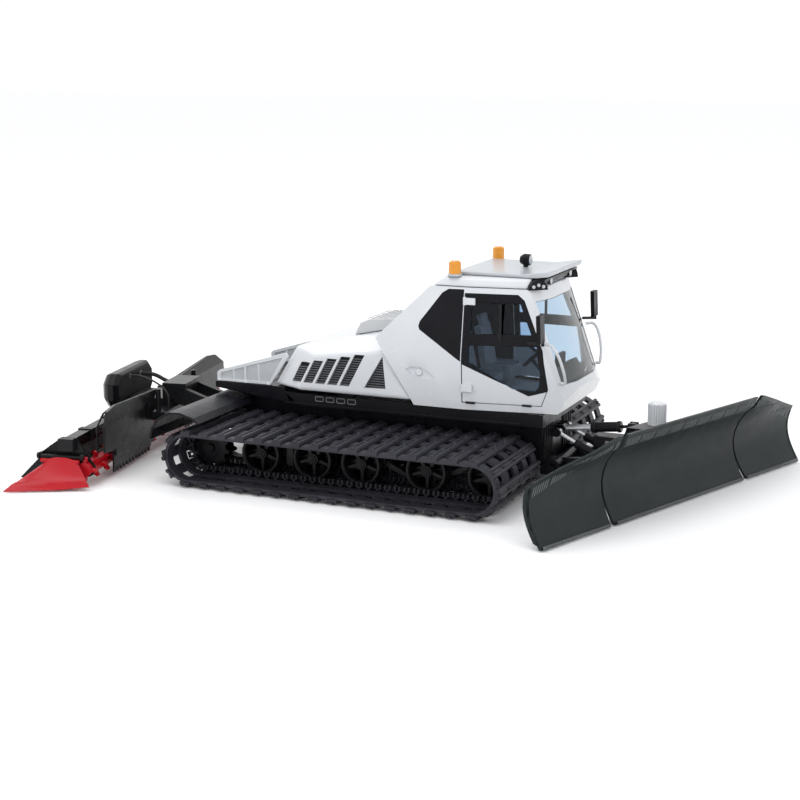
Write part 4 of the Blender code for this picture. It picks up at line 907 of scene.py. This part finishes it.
def lens_plastic(name, tints, glosses, ribs, settings, axis="X"):
    """Lens plastic whose tint and gloss change across fine ribs."""
    made = bpy.data.materials.new(name)
    made.use_nodes = True
    nodes, links = made.node_tree.nodes, made.node_tree.links
    shader = nodes["Principled BSDF"]
    for socket_name, value in settings:
        shader.inputs[socket_name].default_value = value
    place = nodes.new("ShaderNodeTexCoord")
    lines = nodes.new("ShaderNodeTexWave")
    lines.inputs["Scale"].default_value = ribs
    lines.bands_direction = axis
    tint = nodes.new("ShaderNodeValToRGB")
    tint.color_ramp.elements[0].color = (*tints[0], 1)
    tint.color_ramp.elements[1].color = (*tints[1], 1)
    gloss = nodes.new("ShaderNodeMapRange")
    gloss.inputs["To Min"].default_value = glosses[0]
    gloss.inputs["To Max"].default_value = glosses[1]
    links.new(place.outputs["Object"], lines.inputs["Vector"])
    links.new(lines.outputs["Fac"], tint.inputs["Fac"])
    links.new(lines.outputs["Fac"], gloss.inputs["Value"])
    links.new(tint.outputs["Color"], shader.inputs["Base Color"])
    links.new(gloss.outputs["Result"], shader.inputs["Roughness"])
    return made


LAMP_TINTS = ((0.34, 0.36, 0.38), (0.55, 0.57, 0.60))
LAMP_SETTINGS = (("Metallic", 0.6), ("Coat Weight", 0.8))
lamp_clear = lens_plastic("lamp_lens", LAMP_TINTS, (0.08, 0.22), 420.0, LAMP_SETTINGS)
AMBER_TINTS = ((0.86, 0.30, 0.002), (0.98, 0.42, 0.004))
AMBER_SETTINGS = (("Transmission Weight", 0.25), ("Coat Weight", 0.6))
amber = lens_plastic("amber_lens", AMBER_TINTS, (0.12, 0.25), 330.0, AMBER_SETTINGS, "Z")
moulding("roof_wing", roof_silver, 0.9, 20.0)
visor = bmesh.new()
lenses = bmesh.new()
for side in (-1, 1):
    turn = Matrix.Rotation(math.radians(48.0 * side), 4, "Z")
    corner = Matrix.Translation((237.4, side * 41.0, 157.6)) @ turn
    arc = [(7.8 * math.cos(math.radians(12 * k)), 7.8 * math.sin(math.radians(12 * k))) for k in range(16)]
    made = slab(visor, arc, -7.0, 2.4, "X")
    bmesh.ops.transform(visor, matrix=corner, verts=made)
    for across, z in ((-4.0, 2.6), (0.0, 3.8), (4.0, 2.6)):
        made = bar(lenses, (2.2, across, z), (3.0, across, z), 1.6, 18, 1.2)
        bmesh.ops.transform(lenses, matrix=corner, verts=made)
slab(visor, [(237.8, 159.5), (241.5, 161.5), (243.5, 165.6), (238.2, 165.6)], -40.5, 40.5)
for y in (-VISOR_LAMP_Y, VISOR_LAMP_Y):
    bar(visor, (239.0, y, VISOR_LAMP_Z), (242.6, y, VISOR_LAMP_Z), 2.7, 22, 3.1)
finished("roof_visor", visor, machine_place, body_black, "vehicle", 0.3, 30.0)
for y in (-VISOR_LAMP_Y, VISOR_LAMP_Y):
    bar(lenses, (242.5, y, VISOR_LAMP_Z), (243.0, y, VISOR_LAMP_Z), 2.5, 22, 2.1)
bar(lenses, (217.8, 0, SEARCH_Z), (218.4, 0, SEARCH_Z), 3.9, 24, 3.4)
finished("lamp_lenses", lenses, machine_place, lamp_clear, "vehicle")
search = bmesh.new()
bar(search, (214, 0, 168.7), (214, 0, 171.5), 2.2, 20, 1.6)
bar(search, (209.8, 0, SEARCH_Z), (212.6, 0, SEARCH_Z), 3.0, 28, 4.5)
bar(search, (212.5, 0, SEARCH_Z), (217.9, 0, SEARCH_Z), 4.55, 28, 4.4)
for step in range(4):
    bar(search, (213.2 + 1.2 * step, 0, SEARCH_Z), (213.7 + 1.2 * step, 0, SEARCH_Z), 4.6, 28)
finished(
    "spotlight_housing", search, machine_place, body_black, "vehicle", 0.2, 30.0, 1,
    ["spotlight"],
)

for side, tag in SIDES:
    y = side * BEACON_Y
    foot = bmesh.new()
    bar(foot, (BEACON_X, y, 165.8), (BEACON_X, y, 167.4), 5.6, 32, 5.2)
    finished(f"beacon_{tag}_foot", foot, machine_place, roof_silver, "vehicle", 0.25, 30.0)
    lens = bmesh.new()
    bar(lens, (BEACON_X, y, 167.4), (BEACON_X, y, 176.4), 4.6, 32, 4.3)
    bar(lens, (BEACON_X, y, 176.4), (BEACON_X, y, 177.3), 4.3, 32, 3.2)
    for fin in range(BEACON_FINS):
        angle = 2 * math.pi * fin / BEACON_FINS
        x, dy = 4.45 * math.cos(angle), 4.45 * math.sin(angle)
        bar(lens, (BEACON_X + x, y + dy, 168), (BEACON_X + x * 0.95, y + dy * 0.95, 176), 0.3, 6)
    finished(
        f"beacon_{tag}_lens", lens, machine_place, amber, "vehicle",
        replaces=[f"beacon_{tag}"],
    )

# ---------------------------------------------------------------- mirrors and grab handles
# Black mirrors on short stays, with a bright plate facing back, and white bent handles on the front pillars.

for side, tag in SIDES:
    moulding(f"mirror_{tag}", body_black, 0.5)
    plate = bmesh.new()
    low, high = span(side, 64.2, 71.8)
    slab(plate, [(248.15, 124.0), (247.95, 124.0), (247.0, 141.6), (247.2, 141.6)], low, high)
    finished(f"mirror_{tag}_face", plate, machine_place, lamp_clear, "vehicle")
    moulding(f"grab_handle_{tag}", body_white, 0.0, 50.0)

# ---------------------------------------------------------------- front linkage
# Black lift arms carry the blade's swivel sleeve. Silver rods run in black barrels with two collars each.

TILT_BARREL_LENGTH, LIFT_BARREL_LENGTH, COLLAR_LENGTH = 33.0, 27.0, 2.6
for node in ("push_frame", "blade_carrier"):
    moulding(node, body_black, 0.45)
silver_rod = moulded_plastic(
    "silver_rod", (0.50, 0.51, 0.53), (0.62, 0.63, 0.65), 0.22, 2600.0, 0.00002, coat=0.3, metallic=0.7
)
for node in ("lift_rod_left", "lift_rod_right", "tilt_rod"):
    moulding(node, silver_rod, 0.15, 40.0)
for node in ("lift_barrel_left", "lift_barrel_right", "tilt_barrel"):
    moulding(node, body_black, 0.3, 40.0)
for node, foot, top, y, radius, body in (
    ("lift_barrel_left", (285, 24), (247, 43), 12.5, 3.2, "lift_barrels"),
    ("lift_barrel_right", (285, 24), (247, 43), -12.5, 3.2, "lift_barrels"),
    ("tilt_barrel", (303, 50), (247, 44), 0.0, 4.0, "tilt_barrel"),
):
    start = Vector((foot[0], y, foot[1]))
    along = (Vector((top[0], y, top[1])) - start).normalized()
    length = TILT_BARREL_LENGTH if node == "tilt_barrel" else LIFT_BARREL_LENGTH
    collars = bmesh.new()
    for place in (9.5, length - 4.0):
        bar(collars, start + along * place, start + along * (place + COLLAR_LENGTH), radius + 0.5, 28)
    finished(f"{node}_collars", collars, machine_place, satin_black, body, 0.25, 30.0)

# ---------------------------------------------------------------- blade
# A hollow-curved blade of dark green-grey plastic: a middle and two hinged wings. A strip of fine raised
# strokes runs along its top, its bottom edge has small teeth, and a fluted white knob sits behind it.

BLADE_END, BLADE_TOP_Z, KNOB_X = 170.0, 69.0, 34
STROKE_PITCH, STROKE_ROW_STEP, TOOTH_PITCH = 2.3, 1.9, 2.4
blade_plastic = moulded_plastic(
    "blade_plastic", (0.008, 0.012, 0.0125), (0.014, 0.020, 0.0205), 0.36, 1500.0, 0.00005, shine=0.2
)
slit_grey = moulded_plastic("slit_grey", (0.085, 0.095, 0.095), (0.13, 0.14, 0.14), 0.4, shine=0.4)


def blade_face(z):
    """How far ahead of the swivel the face lies at a height."""
    return 60 - 12.5 * math.sin(math.pi * min(z, 60.0) / 60.0) + 0.55 * max(0.0, z - 52.0)


def wing_top(y):
    """The height of the blade's top edge at a distance from its middle."""
    return BLADE_TOP_Z if abs(y) < 95 else BLADE_TOP_Z - (abs(y) - 95) * 23.0 / 76.0


moulding("blade_centre", blade_plastic, 0.35, 28.0)
for tag in ("left", "right"):
    moulding(f"blade_wing_{tag}", blade_plastic, 0.35, 28.0)
for name, low, high, body in (
    ("blade_centre", -84.0, 84.0, "blade"),
    ("blade_wing_left", 90.0, 169.0, "blade_wing_left"),
    ("blade_wing_right", -169.0, -90.0, "blade_wing_right"),
):
    slits = bmesh.new()
    count = int((high - low) / STROKE_PITCH)
    for number in range(count):
        if number % 8 == 7:
            continue
        y = low + 1.2 + number * (high - low - 2.4) / count
        for step in range(4):
            z = wing_top(y) - 4.6 - STROKE_ROW_STEP * step
            x = blade_face(z)
            slope = blade_face(z + 0.95) - blade_face(z - 0.95)
            made = box(slits, (-0.2, -0.45, -0.98), (0.32, 0.45, 0.98))
            tilt = Matrix.Rotation(math.atan2(slope, STROKE_ROW_STEP), 4, "Y")
            spot = Matrix.Translation((x, y + 0.25 * step, z))
            bmesh.ops.transform(slits, matrix=spot @ tilt, verts=made)
    finished(f"{name}_slits", slits, blade_place, slit_grey, body)
    teeth = bmesh.new()
    for number in range(int((high - low) / TOOTH_PITCH)):
        y = low + 1.2 + TOOTH_PITCH * number
        slab(teeth, [(y - 1.0, 3.4), (y - 0.35, 0.8), (y + 0.35, 0.8), (y + 1.0, 3.4)], 59.4, 60.8, "X")
    finished(f"{name}_teeth", teeth, blade_place, slit_grey, body)
for side, tag in SIDES:
    plate = bmesh.new()
    front_edge = [(blade_face(z) + 0.5, z) for z in range(2, 46, 4)]
    back_edge = [(blade_face(z) - 5.5, z) for z in range(44, 0, -4)]
    low, high = span(side, BLADE_END, 168.2)
    slab(plate, front_edge + back_edge, low, high)
    finished(
        f"blade_end_{tag}", plate, blade_place, blade_plastic, f"blade_wing_{tag}",
        0.3, 28.0,
    )
flange = bmesh.new()
slab(flange, [(68.4, 67.6), (69.35, 68.9), (67.9, 68.95), (66.4, 67.6)], -85.5, 85.5)
finished("blade_top_flange", flange, blade_place, blade_plastic, "blade", 0.2, 28.0)

knob = bmesh.new()
outline = []
for flute in range(20):
    for part, radius in ((0.0, 7.1), (0.55, 7.1), (0.65, 6.6), (0.9, 6.6)):
        angle = 2 * math.pi * (flute + part) / 20
        outline.append((KNOB_X + radius * math.cos(angle), radius * math.sin(angle)))
slab(knob, outline, 57.4, 72.4, "Z")
bar(knob, (KNOB_X, 0, 72.4), (KNOB_X, 0, 73.4), 6.4, 40, 5.6)
bar(knob, (KNOB_X, 0, 56.3), (KNOB_X, 0, 57.5), 7.1, 40, 7.1)
finished(
    "swivel_knob_turned", knob, blade_place, body_white, "blade", 0.3, 30.0, 2, ["swivel_knob"]
)

# ---------------------------------------------------------------- tiller
# A black carrier at the back: cross beam, faceted motor cover, guards, housing and combed flap. Black toothed
# strips below the guards are painted shade over the shaft. The toothed shaft and the flared side finishers
# are bright red. All of it is moulded plastic.

SHAFT_X, SHAFT_Z, SHAFT_END = -82, 13, 147.6
COVER_MIDDLE_Z, SHADE_STRIP_PITCH = 51, 6.58
GUARD = [(24, 53), (37, 45), (39, 11), (118, 18), (119, 24), (140, 25), (139, 46), (126, 55), (108, 57)]
TILLER_DARK, TILLER_PALE = (0.004, 0.0042, 0.005), (0.009, 0.0095, 0.0105)
tiller_black = moulded_plastic("tiller_black", TILLER_DARK, TILLER_PALE, 0.28, 1800.0, 0.00003, shine=0.18)
tiller_red = moulded_plastic(
    "tiller_red", (0.36, 0.003, 0.009), (0.46, 0.006, 0.014), 0.3, 2400.0, 0.00003, shine=0.3
)
for node in ("swing_frame", "tiller_frame", "tiller_housing"):
    moulding(node, tiller_black, 0.5, 28.0)
moulding("tiller_comb", tiller_black, 0.2, 28.0)
for tag in ("left", "right"):
    moulding(f"tiller_guard_{tag}", tiller_black, 0.5, 24.0)

for side, tag in SIDES:
    rim = bmesh.new()
    middle_y = sum(y for y, z in GUARD) / len(GUARD)
    middle_z = sum(z for y, z in GUARD) / len(GUARD)
    inner = [(y + (middle_y - y) * 0.035, z + (middle_z - z) * 0.09) for y, z in GUARD]
    for (y0, z0), (y1, z1) in zip(inner, inner[1:] + inner[:1]):
        bar(rim, (-74.3, side * y0, z0), (-74.3, side * y1, z1), 0.75, 10)
    finished(f"guard_{tag}_rim", rim, tiller_place, tiller_black, "tiller")

# Black toothed strips hung in front of the shaft below the guards: painted shade where the red shaft lies in
# the guards' shadow.
shade_strips = bmesh.new()
for side in (-1, 1):
    edge = [(39.0, 20.0), (118.0, 22.0)]
    tooth = ((0.0, 4.2), (3.2, 4.2), (4.0, 7.8), (5.8, 7.8))
    teeth = [(118.0 - SHADE_STRIP_PITCH * number - dy, z) for number in range(12) for dy, z in tooth]
    slab(shade_strips, [(side * y, z) for y, z in edge + teeth], -71.0, -69.4, "X")
finished("guard_shade_strips", shade_strips, tiller_place, tiller_black, "tiller", 0.4, 30.0)

cover = bmesh.new()
octagon = [(-42, 44), (-42, 58), (-33, 66), (33, 66), (42, 58), (42, 44), (34, 36.3), (-34, 36.3)]
rings = []
for x, share in ((-114.0, 0.78), (-110.0, 0.93), (-106.0, 1.0), (-101.0, 1.0), (-98.0, 0.9)):
    outline = [(y * share, COVER_MIDDLE_Z + (z - COVER_MIDDLE_Z) * share) for y, z in octagon]
    rings.append([cover.verts.new((x, y, z)) for y, z in outline])
for first, second in zip(rings, rings[1:]):
    for k in range(8):
        cover.faces.new((first[k], first[(k + 1) % 8], second[(k + 1) % 8], second[k]))
cover.faces.new(rings[0])
cover.faces.new(rings[-1])
bmesh.ops.recalc_face_normals(cover, faces=cover.faces)
# The cover's two flat ends take the paler satin black: a painted highlight on those faces.
for f in cover.faces:
    f.material_index = 1 if abs(f.normal.x) > 0.99 else 0
finished(
    "motor_cover_moulding", cover, tiller_place, [tiller_black, satin_black], "tiller",
    0.8, 15.0, 3, ["motor_cover"],
)
socket = bmesh.new()
for y, z in ((-28, 45), (28, 45), (-28, 57), (28, 57)):
    bar(socket, (-114.3, y, z), (-113.6, y, z), 1.5, 16)
bar(socket, (-98.4, -12, 60.5), (-97.9, -12, 60.5), 2.2, 20)
bar(socket, (-98.4, 12, 58.0), (-97.9, 12, 58.0), 2.8, 20)
finished("motor_cover_screws", socket, tiller_place, rim_grey, "tiller")

shaft = bmesh.new()
bar(shaft, (SHAFT_X, -SHAFT_END, SHAFT_Z), (SHAFT_X, SHAFT_END, SHAFT_Z), 5.6, 32)
for ring_number in range(30):
    y = -145 + ring_number * 10
    for tooth in range(4):
        angle = math.radians(90 * tooth + (45 if ring_number % 2 else 0))
        points = []
        for turn, radius in ((-0.32, 5.3), (-0.20, 9.4), (0.04, 9.9), (0.30, 5.3)):
            across, up = radius * math.cos(angle + turn), radius * math.sin(angle + turn)
            points.append((SHAFT_X + across, SHAFT_Z + up))
        slab(shaft, points, y - 1.5, y + 1.5)
finished(
    "tiller_shaft_turned", shaft, tiller_place, tiller_red, "tiller_shaft", 0.0, 30.0, 1,
    ["tiller_shaft"],
)

ACROSS, DOWN = 14, 10
for side, tag in SIDES:
    sheet = bmesh.new()
    rows = []
    for row in range(DOWN + 1):
        v = row / DOWN
        line = []
        for column in range(ACROSS + 1):
            u = column / ACROSS
            top = Vector((-114 + 29 * u, 150.6, 22.8 - 5.0 * abs(2 * u - 1) ** 3))
            foot = Vector((-135 + 62 * u, 180.2 - 21 * u, 1.4 + 4.0 * max(0.0, u - 0.6)))
            point = top.lerp(foot, v)
            crease = 1.2 * max(0.0, 1 - abs(v - 0.8) / 0.12)
            point.y += crease - 2.2 * math.sin(math.pi * v) * (1 - u)
            point.z += crease * 0.6
            line.append(sheet.verts.new((point.x, side * point.y, point.z)))
        rows.append(line)
    for above, below in zip(rows, rows[1:]):
        for k in range(ACROSS):
            sheet.faces.new((above[k], above[k + 1], below[k + 1], below[k]))
    bmesh.ops.recalc_face_normals(sheet, faces=sheet.faces)
    bmesh.ops.solidify(sheet, geom=sheet.faces[:], thickness=1.3)
    bar(sheet, (-117, side * 149.6, 19.6), (-85, side * 149.6, 19.6), 1.6, 16)
    bmesh.ops.recalc_face_normals(sheet, faces=sheet.faces)
    finished(
        f"side_finisher_{tag}_sheet", sheet, tiller_place, tiller_red, f"side_finisher_{tag}",
        0.0, 40.0, 1, [f"side_finisher_{tag}"],
    )
grip = bmesh.new()
bar(grip, (-90.0, 146, 26.0), (-72.5, 149, 31.5), 1.8, 24, 2.2)
bar(grip, (-73.0, 149, 31.0), (-68.5, 150, 36.0), 3.8, 28, 3.5)
finished("finisher_grip", grip, tiller_place, tiller_red, "tiller", 0.9, 30.0, 3)
clamps = bmesh.new()
for side in (-1, 1):
    low, high = span(side, 141.5, 148.5)
    box(clamps, (-103.0, low, 26.8), (-90.4, high, 37.0))
    for y in (104, 60):
        low, high = span(side, y, y + 7)
        box(clamps, (-102.8, low, 26.9), (-90.6, high, 36.9))
finished("tube_clamps", clamps, tiller_place, satin_black, "tiller", 0.6, 30.0, 2)
